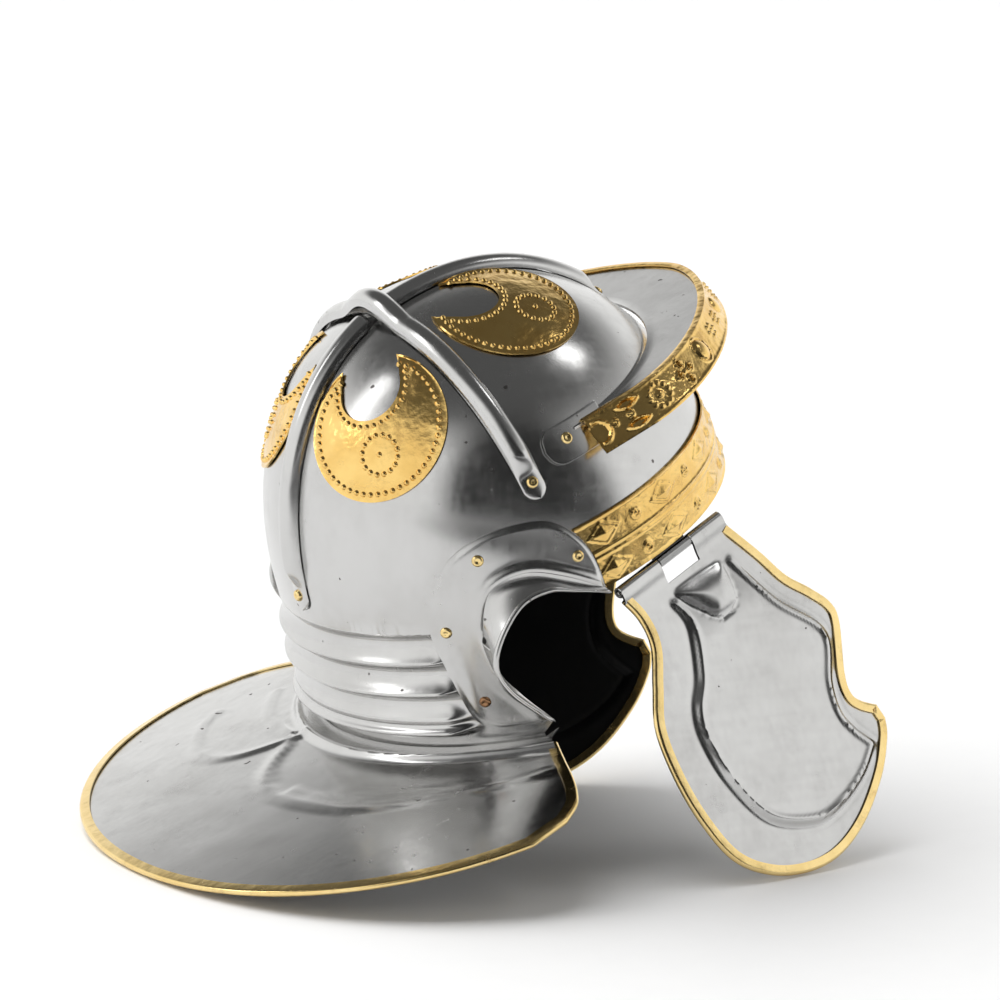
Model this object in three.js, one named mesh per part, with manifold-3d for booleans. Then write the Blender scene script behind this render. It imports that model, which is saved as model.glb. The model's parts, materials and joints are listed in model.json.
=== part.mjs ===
// Roman legionary helmet with a cross-braced crown, standing on its neck guard
// and its two cheek guards. Millimetres, +Z up, +X ahead of the face, +Y to the
// wearer's left. The helmet is drawn level, round the centre of its brow rim,
// and then leans back until the neck guard and both cheek guards touch the ground.

import * as THREE from 'three';
import { mergeVertices } from 'three/addons/utils/BufferGeometryUtils.js';
import Module from 'manifold-3d';

const wasm = await Module();
wasm.setup();

// Driving dimensions.
const steelSheet = 1.2;
const brassSheet = 0.8;
const gap = 0.3;

const skull = { front: 112.5, rear: 102, side: 102.5, height: 125, roundness: 2.15 };
const nape = { depth: 66.5, lean: 8, plainTo: 134, ridgedFrom: 143 };
const neckGuard = {
  halfWidth: 149.7, length: 140.8, behind: 85.5, drop: 81.9, lean: 7.86, roundness: 2.09,
};
const rib = { radius: 5.8, plane: -20, arch: 7, archHalf: 25, hub: 30 };
const crescent = { radius: 33.5, notch: 15, notchShift: 18, tipTurn: 64 };
const band = { height: 30.8 };
const peak = {
  level: 0.545 * skull.height, slope: 0.032, centre: 41, ahead: 94.1, side: 90.6, roundness: 1.7, from: 9,
};
const peakTab = { from: -9, to: 22, height: 16, level: 0.524 * skull.height };
const strip = { from: 14, lip: 2.5, drop: 14.2, sideFlare: 11, frontFlare: 5.7 };
const ear = { size: 72, front: -8 };
const hinge = { x: -5, y: 106.2, z: -4.5, yaw: 12.67, barrel: 2.6, pin: 1.1, length: 72, leaf: 16 };
const cheek = { size: 156.4, relief: 2.6, boss: 3.4, grip: 4.4 };
const neckGrip = 4.6;
const rivetSize = { head: 2.75, shank: 1.3, rise: 1.7, tail: 2.2 };

// As it was set down, the right cheek guard is swung out, and the left one in.
const rightSplay = 20;

const columns = 36;
const skullRows = 7;

const steel = new THREE.MeshStandardMaterial({ color: 0x9b9c9e, roughness: 0.32, metalness: 1 });
const brass = new THREE.MeshStandardMaterial({ color: 0xd6a63c, roughness: 0.3, metalness: 1 });

const radians = THREE.MathUtils.degToRad;
const vector = (x, y, z) => new THREE.Vector3(x, y, z);
const power = (value, exponent) => Math.sign(value) * Math.abs(value) ** exponent;

// Solids: closed meshes that can be joined and cut.

function solidOf(geometry) {
  geometry.deleteAttribute('normal');
  geometry.deleteAttribute('uv');
  const merged = mergeVertices(geometry, 1e-4);
  return new wasm.Manifold(new wasm.Mesh({
    numProp: 3,
    vertProperties: new Float32Array(merged.attributes.position.array),
    triVerts: new Uint32Array(merged.index.array),
  }));
}

function geometryOf(solid) {
  const mesh = solid.getMesh();
  const geometry = new THREE.BufferGeometry();
  geometry.setAttribute('position', new THREE.BufferAttribute(mesh.vertProperties, 3));
  geometry.setIndex(new THREE.BufferAttribute(mesh.triVerts, 1));
  geometry.computeVertexNormals();
  return geometry;
}

// Triangles over a grid of points, the same on both sides of its middle. Where
// a row closes to one point, the triangle that has shrunk to nothing is left out.
function weave(rows, wrap, turned, faces) {
  const across = rows[0].length;
  const last = wrap ? across : across - 1;
  for (let i = 0; i + 1 < rows.length; i++) {
    for (let j = 0; j < last; j++) {
      const k = (j + 1) % across;
      const [a, b, c, d] = [rows[i][j], rows[i + 1][j], rows[i + 1][k], rows[i][k]];
      const halves = j < last / 2 ? [[a, b, c], [a, c, d]] : [[a, b, d], [b, c, d]];
      for (const [p, q, r] of halves) {
        const flat = p.distanceTo(q) < 1e-4 || q.distanceTo(r) < 1e-4 || r.distanceTo(p) < 1e-4;
        if (!flat) faces.push(...(turned ? [p, r, q] : [p, q, r]));
      }
    }
  }
}

// The wall between two skins. Rows run down and columns run anticlockwise, seen
// from above; a wall that doesn't wrap is closed at its two side edges too.
function wall(outer, inner, wrap) {
  const faces = [];
  const foot = outer.length - 1;
  weave(outer, wrap, false, faces);
  weave(inner, wrap, true, faces);
  weave([outer[foot], inner[foot]], wrap, false, faces);
  weave([inner[0], outer[0]], wrap, false, faces);
  if (!wrap) {
    const column = (rows, j) => rows.map((row) => row.at(j));
    weave([column(inner, 0), column(outer, 0)], false, true, faces);
    weave([column(outer, -1), column(inner, -1)], false, true, faces);
  }
  return solidOf(new THREE.BufferGeometry().setFromPoints(faces));
}

// Every point of a grid moved along the surface's own normal. The crown's pole
// is one point, and it faces up.
function offset(rows, wrap, distance) {
  const across = rows[0].length;
  const beside = (j) => (wrap ? (j + across) % across : Math.min(Math.max(j, 0), across - 1));
  return rows.map((row, i) => row.map((point, j) => {
    const down = rows[Math.min(i + 1, rows.length - 1)][j].clone().sub(rows[Math.max(i - 1, 0)][j]);
    const along = row[beside(j + 1)].clone().sub(row[beside(j - 1)]);
    const normal = along.length() < 1e-4 ? vector(0, 0, 1) : down.cross(along).normalize();
    return point.clone().addScaledVector(normal, distance);
  }));
}

// A brass channel reaches this far beyond the plate that it grips.
const trimReach = gap + brassSheet;

const plan = (points) => points.map(([x, y]) => new THREE.Vector2(x, y));

function prism(outline, from, to, turn) {
  const shape = Array.isArray(outline) ? new THREE.Shape(outline) : outline;
  const depth = to - from;
  const geometry = new THREE.ExtrudeGeometry(shape, { depth, bevelEnabled: false, curveSegments: 5 });
  geometry.translate(0, 0, from);
  if (turn) turn(geometry);
  return solidOf(geometry);
}

// A prism drawn in x and z that rises to the right, and one drawn in y and z
// that rises ahead.
const toRight = (geometry) => geometry.rotateX(Math.PI / 2);
const toFront = (geometry) => geometry.rotateX(Math.PI / 2).rotateZ(Math.PI / 2);

function block(x, y, z) {
  const geometry = new THREE.BoxGeometry(x[1] - x[0], y[1] - y[0], z[1] - z[0]);
  geometry.translate((x[0] + x[1]) / 2, (y[0] + y[1]) / 2, (z[0] + z[1]) / 2);
  return solidOf(geometry);
}

// An outline moved outwards, or inwards by a negative distance.
function grow(points, distance) {
  const turn = THREE.ShapeUtils.area(points) > 0 ? 1 : -1;
  return points.map((point, i) => {
    const before = point.clone().sub(points.at(i - 1)).normalize();
    const after = points[(i + 1) % points.length].clone().sub(point).normalize();
    const normal = new THREE.Vector2(before.y + after.y, -before.x - after.x).normalize();
    const lean = Math.max(normal.x * before.y - normal.y * before.x, 0.5);
    return point.clone().addScaledVector(normal, distance * turn / lean);
  });
}

function spline(points, steps) {
  return new THREE.SplineCurve(plan(points)).getPoints(steps);
}

// A tab with one round end: the end is at the start of the run.
function tab(middle, radius, run) {
  const shape = new THREE.Shape();
  shape.moveTo(middle[0] + radius, middle[1] + run);
  shape.lineTo(middle[0] - radius, middle[1] + run);
  shape.absarc(middle[0], middle[1], radius, Math.PI, 2 * Math.PI, false);
  return shape;
}

// The skull, round in plan, with a deeper curve ahead than behind.

function skullScale(z) {
  const up = THREE.MathUtils.clamp(z / skull.height, 0, 1);
  return (1 - up ** skull.roundness) ** (1 / skull.roundness);
}

function skullPoint(azimuth, z, out = 0) {
  const reach = Math.cos(azimuth) > 0 ? skull.front : skull.rear;
  const scale = skullScale(z);
  const x = (reach * scale + out) * Math.cos(azimuth);
  return vector(x, (skull.side * scale + out) * Math.sin(azimuth), z);
}

// How far a point is inside (below 1) or outside the skull grown by out.
function skullMeasure(point, out) {
  const reach = (point.x > 0 ? skull.front : skull.rear) + out;
  const across = Math.hypot(point.x / reach, point.y / (skull.side + out));
  const up = Math.max(point.z, 0) / (skull.height + out);
  return across ** skull.roundness + up ** skull.roundness;
}

function onSkull(start, direction, out) {
  let [near, far] = [0, 2 * skull.height];
  for (let i = 0; i < 40; i++) {
    const middle = (near + far) / 2;
    const inside = skullMeasure(start.clone().addScaledVector(direction, middle), out) < 1;
    if (inside) near = middle;
    else far = middle;
  }
  return start.clone().addScaledVector(direction, near);
}

// The raised sheet: skull, ridged nape and neck guard in one grid of points.

const napeRise = Math.tan(radians(nape.lean));
const neckRise = Math.tan(radians(neckGuard.lean));

// Depth below the brow rim and swell out of the wall, in shares of the nape.
const napeProfile = [
  { at: 'first hollow', depth: 0.14, swell: -0.01 },
  { at: 'first crest', depth: 0.29, swell: 0.045 },
  { at: 'second hollow', depth: 0.36, swell: 0.015 },
  { at: 'second crest', depth: 0.52, swell: 0.085 },
  { at: 'third hollow', depth: 0.6, swell: 0.05 },
  { at: 'third crest', depth: 0.8, swell: 0.12 },
  { at: 'under the third crest', depth: 0.88, swell: 0.075 },
  { at: 'seat of the neck guard', depth: 0.98, swell: 0.06 },
];
const plainDepth = 0.09 * nape.depth;

function rimAt(turn, reach) {
  const { halfWidth, length, behind, roundness } = neckGuard;
  const x = -behind - (length + reach) * power(Math.cos(turn), 2 / roundness);
  return [x, (halfWidth + reach) * power(Math.sin(turn), 2 / roundness)];
}

// The sheet's own edge all round. Ahead of the corners it is cut away later.
function rimPoint(azimuth, reach) {
  const corner = Math.atan2(neckGuard.behind, neckGuard.halfWidth) + Math.PI / 2;
  const side = Math.sign(Math.sin(azimuth));
  const folded = Math.abs(azimuth);
  let [x, y] = rimAt((Math.PI - folded) / (Math.PI - corner) * Math.PI / 2, reach);
  if (folded < corner) {
    const turn = folded / corner * Math.PI / 2;
    x = -neckGuard.behind + 2 * skull.front * Math.cos(turn);
    y = (neckGuard.halfWidth + reach) * Math.sin(turn);
  }
  return vector(x, side * y, -neckGuard.drop - neckRise * x);
}

function raisedColumn(azimuth) {
  const wallFoot = -plainDepth - napeRise * skullPoint(azimuth, 0).x;
  const points = [];
  for (let i = 0; i <= skullRows; i++) {
    const share = power(Math.cos(i / skullRows * Math.PI / 2), 2 / skull.roundness);
    points.push(skullPoint(azimuth, wallFoot + (skull.height - wallFoot) * share));
  }
  const [plainTo, ridgedFrom] = [radians(nape.plainTo), radians(nape.ridgedFrom)];
  const ridged = THREE.MathUtils.smoothstep(Math.abs(azimuth), plainTo, ridgedFrom);
  for (const { depth, swell } of napeProfile) {
    const point = skullPoint(azimuth, 0, swell * ridged * nape.depth);
    point.z = -depth * nape.depth - napeRise * point.x;
    points.push(point);
  }
  const seat = points.at(-1);
  const rim = rimPoint(azimuth, neckGrip + 2);
  for (const share of [0.06, 1]) points.push(seat.clone().lerp(rim, share));
  return points;
}

const raisedColumns = Array.from({ length: columns }, (_, j) => (
  raisedColumn(2 * Math.PI * (j / columns - 0.5))
));
const raisedRows = raisedColumns[0].map((_, i) => raisedColumns.map((column) => column[i]));

// What lies between two distances from the sheet's outer face.
function layer(from, to) {
  return wall(offset(raisedRows, true, to), offset(raisedRows, true, from), true);
}

// The whole inside of the skull, out to a distance from its face.
function core(out) {
  const rows = offset(raisedRows, true, out).slice(0, skullRows + 1);
  const faces = [];
  const foot = rows.at(-1);
  weave([...rows, foot.map(() => vector(0, 0, foot[0].z))], true, false, faces);
  return solidOf(new THREE.BufferGeometry().setFromPoints(faces));
}

// Ear opening, in side view: ahead of its front end and above the rim, in
// shares of its size. The arch is the sheet's edge, the edge is the guard's
// outer outline, and the lip's free edge also has its distance to the side.
const earArch = [
  [0, 0], [-0.22, 0.19], [-0.44, 0.31], [-0.65, 0.27], [-0.755, 0.06], [-0.755, -0.25], [-0.68, -0.46],
  [-0.56, -0.69],
];
const earEdge = [
  [-0.56, -0.69], [-0.72, -0.66], [-0.86, -0.625], [-0.95, -0.48], [-0.99, -0.1], [-0.96, 0.21],
  [-0.82, 0.47], [-0.63, 0.585], [-0.4, 0.6], [-0.17, 0.53], [-0.04, 0.34], [0, 0.16], [0, 0],
];
const earLip = [
  { ahead: 0.01, up: -0.03, side: 1.47 },
  { ahead: -0.19, up: 0.08, side: 1.435 },
  { ahead: -0.36, up: 0.165, side: 1.41 },
  { ahead: -0.56, up: 0.16, side: 1.385 },
  { ahead: -0.76, up: 0.02, side: 1.375 },
  { ahead: -0.85, up: -0.15, side: 1.365 },
  { ahead: -0.79, up: -0.36, side: 1.345 },
  { ahead: -0.59, up: -0.66, side: 1.325 },
];
const earPlace = ([ahead, up]) => [ear.front + ahead * ear.size, up * ear.size];
const arch = spline(earArch.map(earPlace), 12);
const underArch = earPlace([-0.486, -0.833]);
const farBelow = -2 * neckGuard.drop;
const farAhead = 3 * skull.front;
const archToFace = [
  ...arch,
  ...plan([underArch, [underArch[0], farBelow], [farAhead, farBelow], [farAhead, 0]]),
];
const earOutline = [...arch, ...spline(earEdge.map(earPlace), 16).slice(1, -1)];

// Plan of the neck guard, from the nape round the trim's outer edge and back.
// Its front edge is drawn in shares of its half width.
const neckFront = [
  [-0.334, -0.628], [-0.374, -0.7214], [-0.404, -0.795], [-0.441, -0.865], [-0.484, -0.9185], [-0.554, -0.963],
].map(([x, y]) => [x * neckGuard.halfWidth, y * neckGuard.halfWidth]);
const rimTurns = Array.from({ length: 17 }, (_, i) => radians(10.4 * (i - 8)));
const neckOutline = grow(plan([
  ...neckFront,
  ...rimTurns.map((turn) => rimAt(turn, 0)),
  ...neckFront.map(([x, y]) => [x, -y]).reverse(),
]), -trimReach);
const wide = 2 * neckGuard.halfWidth;
const neckTop = -0.6 * nape.depth;

// A place on the sheet, found from inside along a direction, with the way it faces.
const skin = new THREE.BufferGeometry();
const skinFaces = [];
weave(raisedRows, true, false, skinFaces);
skin.setFromPoints(skinFaces);
const sheetBody = new THREE.Mesh(skin, new THREE.MeshStandardMaterial({ side: THREE.DoubleSide }));

function seatOn(start, direction) {
  const [{ point, face }] = new THREE.Raycaster(start, direction).intersectObject(sheetBody);
  return { point, normal: face.normal };
}

const seatAside = (x, z, side) => seatOn(vector(x, 0, z), vector(0, side, 0));
const seatAlong = (z, way) => seatOn(vector(0, 0.01, z), vector(way, 0, 0));

// Rivets: where each one sits, and the way it points. The ends of the ribs and
// the rivets of the peak keep their share of the skull's height.
const earRivets = [[-0.1, 0.27], [-0.63, 0.465], [-0.9, 0.07], [-0.835, -0.44]].map(earPlace);
const ribEnd = {
  side: 0.453 * skull.height, rear: 0.176 * skull.height, front: 0.648 * skull.height, lap: 3, clear: 2,
};
const peakRivet = [peakTab.from + 0.4 * (peakTab.to - peakTab.from), 0.528 * skull.height];

const sideName = (side) => (side < 0 ? 'right' : 'left');

function rivetsOf(side) {
  const name = sideName(side);
  return [
    { name: `rivet_rib_${name}`, seat: seatAside(rib.plane, ribEnd.side, side) },
    { name: `rivet_peak_${name}`, seat: seatAside(...peakRivet, side) },
    ...earRivets.map((place, i) => (
      { name: `rivet_ear_${name}_${i + 1}`, seat: seatAside(...place, side) }
    )),
  ];
}

const rivets = [
  ...rivetsOf(-1),
  ...rivetsOf(1),
  { name: 'rivet_rib_rear', seat: seatAlong(ribEnd.rear, -1) },
  { name: 'rivet_rib_front', seat: seatAlong(ribEnd.front, 1) },
];

function onSeat(object, { point, normal }) {
  object.position.copy(point);
  object.quaternion.setFromUnitVectors(vector(0, 1, 0), normal);
  return object;
}

const holes = rivets.map(({ seat }) => {
  const hole = onSeat(new THREE.Object3D(), seat);
  hole.updateMatrix();
  const geometry = new THREE.CylinderGeometry(rivetSize.shank + gap, rivetSize.shank + gap, 12, 8);
  return solidOf(geometry.applyMatrix4(hole.matrix));
});
const pierced = (solid) => holes.reduce((rest, hole) => rest.subtract(hole), solid);

const plateTop = gap + steelSheet;
const riveted = layer(gap, plateTop);

function rivetGeometry() {
  const { head, shank, rise, tail } = rivetSize;
  const inside = -steelSheet - gap;
  const outside = plateTop + gap;
  return new THREE.LatheGeometry(plan([
    [0, inside - brassSheet], [tail, inside - brassSheet], [shank, inside],
    [shank, outside], [head, outside], [0.7 * head, outside + 0.75 * rise], [0, outside + rise],
  ]), 7);
}

// Pieces of the helmet itself.

function bowl() {
  const faceCut = prism(archToFace, -wide, wide, toRight);
  const beyondNeck = block([-2 * wide, wide], [-wide, wide], [-2 * neckGuard.drop, neckTop])
    .subtract(prism(neckOutline, -2 * neckGuard.drop - 1, neckTop + 1));
  return pierced(layer(-steelSheet, 0).subtract(faceCut).subtract(beyondNeck));
}

function neckTrim() {
  const height = [-2 * neckGuard.drop, neckTop + 10];
  const nearNape = new THREE.Shape().absellipse(0, 0, skull.rear + 3.5, skull.side + 3.5, 0, 2 * Math.PI);
  const channel = layer(-steelSheet - trimReach, trimReach)
    .intersect(prism(grow(neckOutline, trimReach), ...height))
    .subtract(prism(grow(neckOutline, -neckGrip), ...height))
    .subtract(prism(nearNape, ...height))
    .subtract(block([-56, wide], [-skull.side * 0.9, skull.side * 0.9], height));
  return channel.subtract(
    layer(-steelSheet - gap, gap).intersect(prism(grow(neckOutline, gap), ...height)),
  );
}

// A rib turns round a hub below the crossing. Its ends are given as the height
// that it comes down to, or as how far it stops from the crossing.
const hub = vector(rib.plane, 0, rib.hub);
const turnedUp = (turn, direction) => (
  direction.clone().multiplyScalar(Math.cos(radians(turn))).add(vector(0, 0, Math.sin(radians(turn))))
);
const turnBeside = (offset) => 90 - Math.atan2(offset, skull.height - rib.hub) * 180 / Math.PI;

function turnDownTo(height, direction) {
  let [low, high] = [-60, 90];
  for (let i = 0; i < 30; i += 1) {
    const turn = (low + high) / 2;
    if (onSkull(hub, turnedUp(turn, direction), gap).z < height) low = turn;
    else high = turn;
  }
  return low;
}

function ribPath(from, to, direction, arched) {
  const steps = 28;
  const points = Array.from({ length: steps + 1 }, (_, i) => {
    const way = turnedUp(from + (to - from) * i / steps, direction);
    const point = onSkull(hub, way, gap);
    const near = arched ? Math.max(1 - Math.abs(point.y) / rib.archHalf, 0) : 0;
    return point.addScaledVector(way, rib.arch * Math.sin(near * Math.PI / 2) ** 2);
  });
  return new THREE.CatmullRomCurve3(points);
}

function ribBar(path, steps) {
  const section = new THREE.Shape();
  section.absarc(0, 0, rib.radius, 0, Math.PI, false);
  section.absarc(0, 0, rib.radius - steelSheet, Math.PI, 0, true);
  return solidOf(new THREE.ExtrudeGeometry(section, { extrudePath: path, steps, curveSegments: 2 }));
}

function endTab(middle, run, turn, from, to) {
  return riveted.intersect(prism(tab(middle, rib.radius, run), from, to, turn));
}

function ribTransverse() {
  const ends = [[0, wide], [-wide, 0]].map(([from, to]) => (
    endTab([rib.plane, ribEnd.side - 2], 11, toRight, from, to)
  ));
  const aside = vector(0, 1, 0);
  const low = turnDownTo(ribEnd.side + ribEnd.lap, aside);
  const bar = ribBar(ribPath(180 - low, low, aside, true), 26).subtract(core(gap));
  return pierced(bar.add(ends[0]).add(ends[1]));
}

function ribRear() {
  const low = 180 - turnDownTo(ribEnd.rear + 2 * ribEnd.lap, vector(-1, 0, 0));
  const bar = ribBar(ribPath(turnBeside(-ribEnd.clear), low, vector(1, 0, 0), false), 11);
  return pierced(bar.add(endTab([0, ribEnd.rear - 2], 11, toFront, -wide, 0)));
}

function ribFront() {
  const low = turnDownTo(ribEnd.front + ribEnd.lap, vector(1, 0, 0));
  const bar = ribBar(ribPath(low, turnBeside(1.5 * ribEnd.clear), vector(1, 0, 0), false), 8);
  return pierced(bar.add(endTab([0, ribEnd.front - 1], 8, toFront, 0, wide)));
}

// A crescent lies on the skull with its horns towards the crossing.
function crescentPiece(middle) {
  const { point, normal } = seatOn(vector(0, 0, 0), vector(...middle).normalize());
  const up = onSkull(vector(rib.plane, 0, 0), vector(0, 0, 1), 0).sub(point);
  up.addScaledVector(normal, -up.dot(normal)).normalize();
  const place = new THREE.Matrix4().makeBasis(up.clone().cross(normal), up, normal).setPosition(point);
  const { radius, notch, notchShift, tipTurn } = crescent;
  const shape = new THREE.Shape();
  shape.absarc(0, 0, radius, radians(tipTurn), radians(180 - tipTurn), true);
  shape.absarc(0, notchShift, notch, Math.PI, 2 * Math.PI, false);
  return layer(gap, gap + brassSheet)
    .intersect(prism(shape, -radius, radius, (geometry) => geometry.applyMatrix4(place)));
}

function browBand() {
  const from = Math.max(...earOutline.map(({ x }) => x)) + gap;
  return layer(gap, gap + brassSheet).intersect(block([from, wide], [-wide, wide], [0, band.height]));
}

// The peak's plan, from the right tab round the front to the left tab.
const peakTurns = Array.from({ length: 19 }, (_, i) => radians(10 * i - 90));
const peakEdge = plan([
  [peak.from, -peak.side],
  [(peak.from + peak.centre) / 2, -peak.side],
  ...peakTurns.map((turn) => [
    peak.centre + peak.ahead * power(Math.cos(turn), 2 / peak.roundness),
    peak.side * power(Math.sin(turn), 2 / peak.roundness),
  ]),
  [(peak.from + peak.centre) / 2, peak.side],
  [peak.from, peak.side],
]);
const peakTop = (x) => peak.level + peak.slope * x + steelSheet / 2;

function peakTabs(from, to, extra) {
  const radius = peakTab.height / 2 + extra;
  const shape = new THREE.Shape();
  shape.moveTo(peakTab.to + extra, peakTab.level - radius);
  shape.lineTo(peakTab.to + extra, peakTab.level + radius);
  shape.absarc(peakTab.from + peakTab.height / 2, peakTab.level, radius, Math.PI / 2, 1.5 * Math.PI, false);
  return layer(from, to).intersect(prism(shape, -wide, wide, toRight));
}

function peakPlate() {
  const lean = -Math.atan(peak.slope);
  const raise = (geometry) => geometry.rotateY(lean).translate(0, 0, peak.level);
  const plate = prism(peakEdge, -steelSheet / 2, steelSheet / 2, raise).subtract(core(gap));
  return pierced(plate.add(peakTabs(gap, plateTop, 0)));
}

function peakStrip() {
  const edge = peakEdge.map((point) => new THREE.Vector2(Math.max(point.x, strip.from), point.y));
  const flare = (point) => {
    const ahead = THREE.MathUtils.clamp((point.x - peak.centre) / peak.ahead, 0, 1);
    return strip.sideFlare + (strip.frontFlare - strip.sideFlare) * ahead;
  };
  const rowAt = (out, down) => edge.map((point, i) => {
    const [before, after] = [edge[Math.max(i - 1, 0)], edge[Math.min(i + 1, edge.length - 1)]];
    const run = after.clone().sub(before).normalize();
    const reach = gap + out(point);
    return vector(point.x + run.y * reach, point.y - run.x * reach, peakTop(point.x) + gap - down);
  });
  const rows = [rowAt(() => -strip.lip, 0), rowAt(() => 0, 0), rowAt(flare, strip.drop)];
  return wall(offset(rows, false, brassSheet), rows, false).subtract(peakTabs(0, plateTop + gap, gap));
}

function earGuard() {
  const plate = riveted.intersect(prism(earOutline, 0, wide, toRight));
  const middle = gap + steelSheet / 2;
  const freeEdge = new THREE.CatmullRomCurve3(earLip.map(({ ahead, up, side }) => (
    vector(ear.front + ahead * ear.size, -side * ear.size, up * ear.size)
  ))).getPoints(arch.length - 1);
  const seated = arch.map(({ x, y }) => {
    const { point, normal } = seatAside(x, y, -1);
    return point.addScaledVector(normal, middle);
  });
  const rows = [seated, freeEdge];
  const lip = wall(offset(rows, false, steelSheet / 2), offset(rows, false, -steelSheet / 2), false);
  return pierced(plate.add(lip));
}

// Cheek guards, in the frame of the hinge: x along the pin, z up, y to the left.
// Outlines are drawn on the guard, along the pin and down from it, in shares of
// its height.

const cheekBack = [
  [0, 0.03], [0.018, 0.1], [0.005, 0.18], [-0.06, 0.27], [-0.13, 0.37], [-0.162, 0.5], [-0.168, 0.65],
  [-0.138, 0.806], [-0.05, 0.912], [0.071, 0.978], [0.2, 1], [0.34, 0.972], [0.48, 0.9], [0.569, 0.8235],
  [0.6, 0.773],
];
const cheekWaist = [[0.597, 0.726], [0.555, 0.687], [0.538, 0.65], [0.558, 0.59], [0.637, 0.466]];
const cheekFront = [[0.646, 0.403], [0.609, 0.3325], [0.554, 0.2526], [0.517, 0.1535], [0.462, 0.03]];
const panelBack = [
  [0.15, 0.115], [0.163, 0.2], [0.095, 0.33], [0.0275, 0.4], [-0.005, 0.48], [-0.006, 0.62], [0.047, 0.78],
  [0.179, 0.872], [0.287, 0.884], [0.411, 0.858], [0.508, 0.807],
];
const panelFront = [
  [0.478, 0.75], [0.46, 0.678], [0.485, 0.59], [0.565, 0.455], [0.469, 0.291], [0.407, 0.115],
];
const bossPlace = { along: 0.293, down: 0.19, wide: 0.096, high: 0.083 };

const onCheek = (points) => points.map(([along, down]) => [along * cheek.size, -down * cheek.size]);
const cheekOutline = grow([
  ...spline(onCheek(cheekBack), 19),
  ...spline(onCheek(cheekWaist), 6),
  ...spline(onCheek(cheekFront), 5),
], -trimReach);
const panelOutline = [...spline(onCheek(panelBack), 12), ...spline(onCheek(panelFront), 6)];

const half = steelSheet / 2;
const knuckles = { rear: [0.01, 0.378], middle: [0.386, 0.68], front: [0.688, 0.99] };

function barrel([from, to], radius) {
  const run = (to - from) * hinge.length;
  const geometry = new THREE.CylinderGeometry(radius, radius, run, 12).rotateZ(Math.PI / 2);
  return solidOf(geometry.translate(from * hinge.length + run / 2, 0, 0));
}

const bore = () => barrel([-0.1, 1.1], hinge.pin + gap);

function cheekGuard() {
  const { along, down, wide: bossWide, high } = bossPlace;
  const raised = prism(panelOutline, 0, half + cheek.relief, toRight);
  const hollow = prism(grow(panelOutline, -steelSheet), -steelSheet, cheek.relief - half, toRight);
  const dome = new THREE.SphereGeometry(1, 8, 4).scale(bossWide * cheek.size, cheek.boss, high * cheek.size);
  dome.translate(along * cheek.size, -half - cheek.relief, -down * cheek.size);
  const { rear, front } = knuckles;
  const slot = block(
    [rear[1] * hinge.length, front[0] * hinge.length],
    [-2 * hinge.barrel, 2 * hinge.barrel],
    [-hinge.barrel * 3.9, 2 * hinge.barrel],
  );
  const top = block(
    [rear[0] * hinge.length, front[1] * hinge.length],
    [-half, half],
    [-2.7 * hinge.barrel, 0],
  );
  return prism(cheekOutline, -half, half, toRight)
    .add(top)
    .add(raised)
    .subtract(hollow)
    .add(solidOf(dome).subtract(block([-wide, wide], [-cheek.relief, wide], [-wide, wide])))
    .subtract(slot)
    .add(barrel(rear, hinge.barrel))
    .add(barrel(front, hinge.barrel))
    .subtract(bore());
}

function cheekTrim() {
  const across = half + gap;
  return prism(grow(cheekOutline, trimReach), -across - brassSheet, across + brassSheet, toRight)
    .subtract(prism(grow(cheekOutline, -cheek.grip), -wide, wide, toRight))
    .subtract(prism(grow(cheekOutline, gap), -across, across, toRight))
    .subtract(block([-wide, wide], [-wide, wide], [-0.05 * cheek.size, wide]));
}

// The leaf stands inside the skull, and its foot is rolled round the pin.
function hingeLeaf(place) {
  const { middle } = knuckles;
  const along = middle.map((share) => share * hinge.length);
  const skullWall = layer(-steelSheet - gap, hinge.barrel)
    .intersect(block([-wide, wide], [-wide, 0], [-gap, band.height]));
  return block(along, [hinge.barrel - steelSheet, hinge.barrel], [0, hinge.leaf])
    .add(barrel(middle, hinge.barrel))
    .subtract(bore())
    .transform(place.elements)
    .subtract(skullWall);
}

// Assembly

function mesh(name, solid, material) {
  const piece = new THREE.Mesh(solid.isBufferGeometry ? solid : geometryOf(solid), material);
  piece.name = name;
  return piece;
}

function mirrored(solid) {
  return solid.mirror([0, 1, 0]);
}

const helmet = new THREE.Group();
const neckRim = mesh('neck_trim', neckTrim(), brass);
helmet.add(
  mesh('bowl', bowl(), steel),
  neckRim,
  mesh('rib_transverse', ribTransverse(), steel),
  mesh('rib_rear', ribRear(), steel),
  mesh('rib_front', ribFront(), steel),
  mesh('brow_band', browBand(), brass),
  mesh('peak', peakPlate(), steel),
  mesh('peak_strip', peakStrip(), brass),
);

// The middle of each crescent, in shares of the skull's own half length, half
// width and height.
for (const { place, middle: [ahead, aside, up] } of [
  { place: 'rear', middle: [-0.551, -0.38, 0.722] },
  { place: 'front', middle: [0.2, -0.363, 0.888] },
]) {
  const reach = ahead > 0 ? skull.front : skull.rear;
  const right = crescentPiece([ahead * reach, aside * skull.side, up * skull.height]);
  helmet.add(mesh(`crescent_${place}_right`, right, brass));
  helmet.add(mesh(`crescent_${place}_left`, mirrored(right), brass));
}

const earPiece = earGuard();
helmet.add(mesh('ear_guard_right', earPiece, steel), mesh('ear_guard_left', mirrored(earPiece), steel));

const rivetShape = rivetGeometry();
for (const { name, seat } of rivets) helmet.add(onSeat(mesh(name, rivetShape.clone(), brass), seat));

function atHinge(side) {
  const group = new THREE.Group();
  group.position.set(hinge.x, side * hinge.y, hinge.z);
  group.rotation.set(0, 0, -side * radians(hinge.yaw), 'ZYX');
  helmet.add(group);
  return group;
}

const sided = (solid, side) => (side < 0 ? solid : mirrored(solid));

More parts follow.
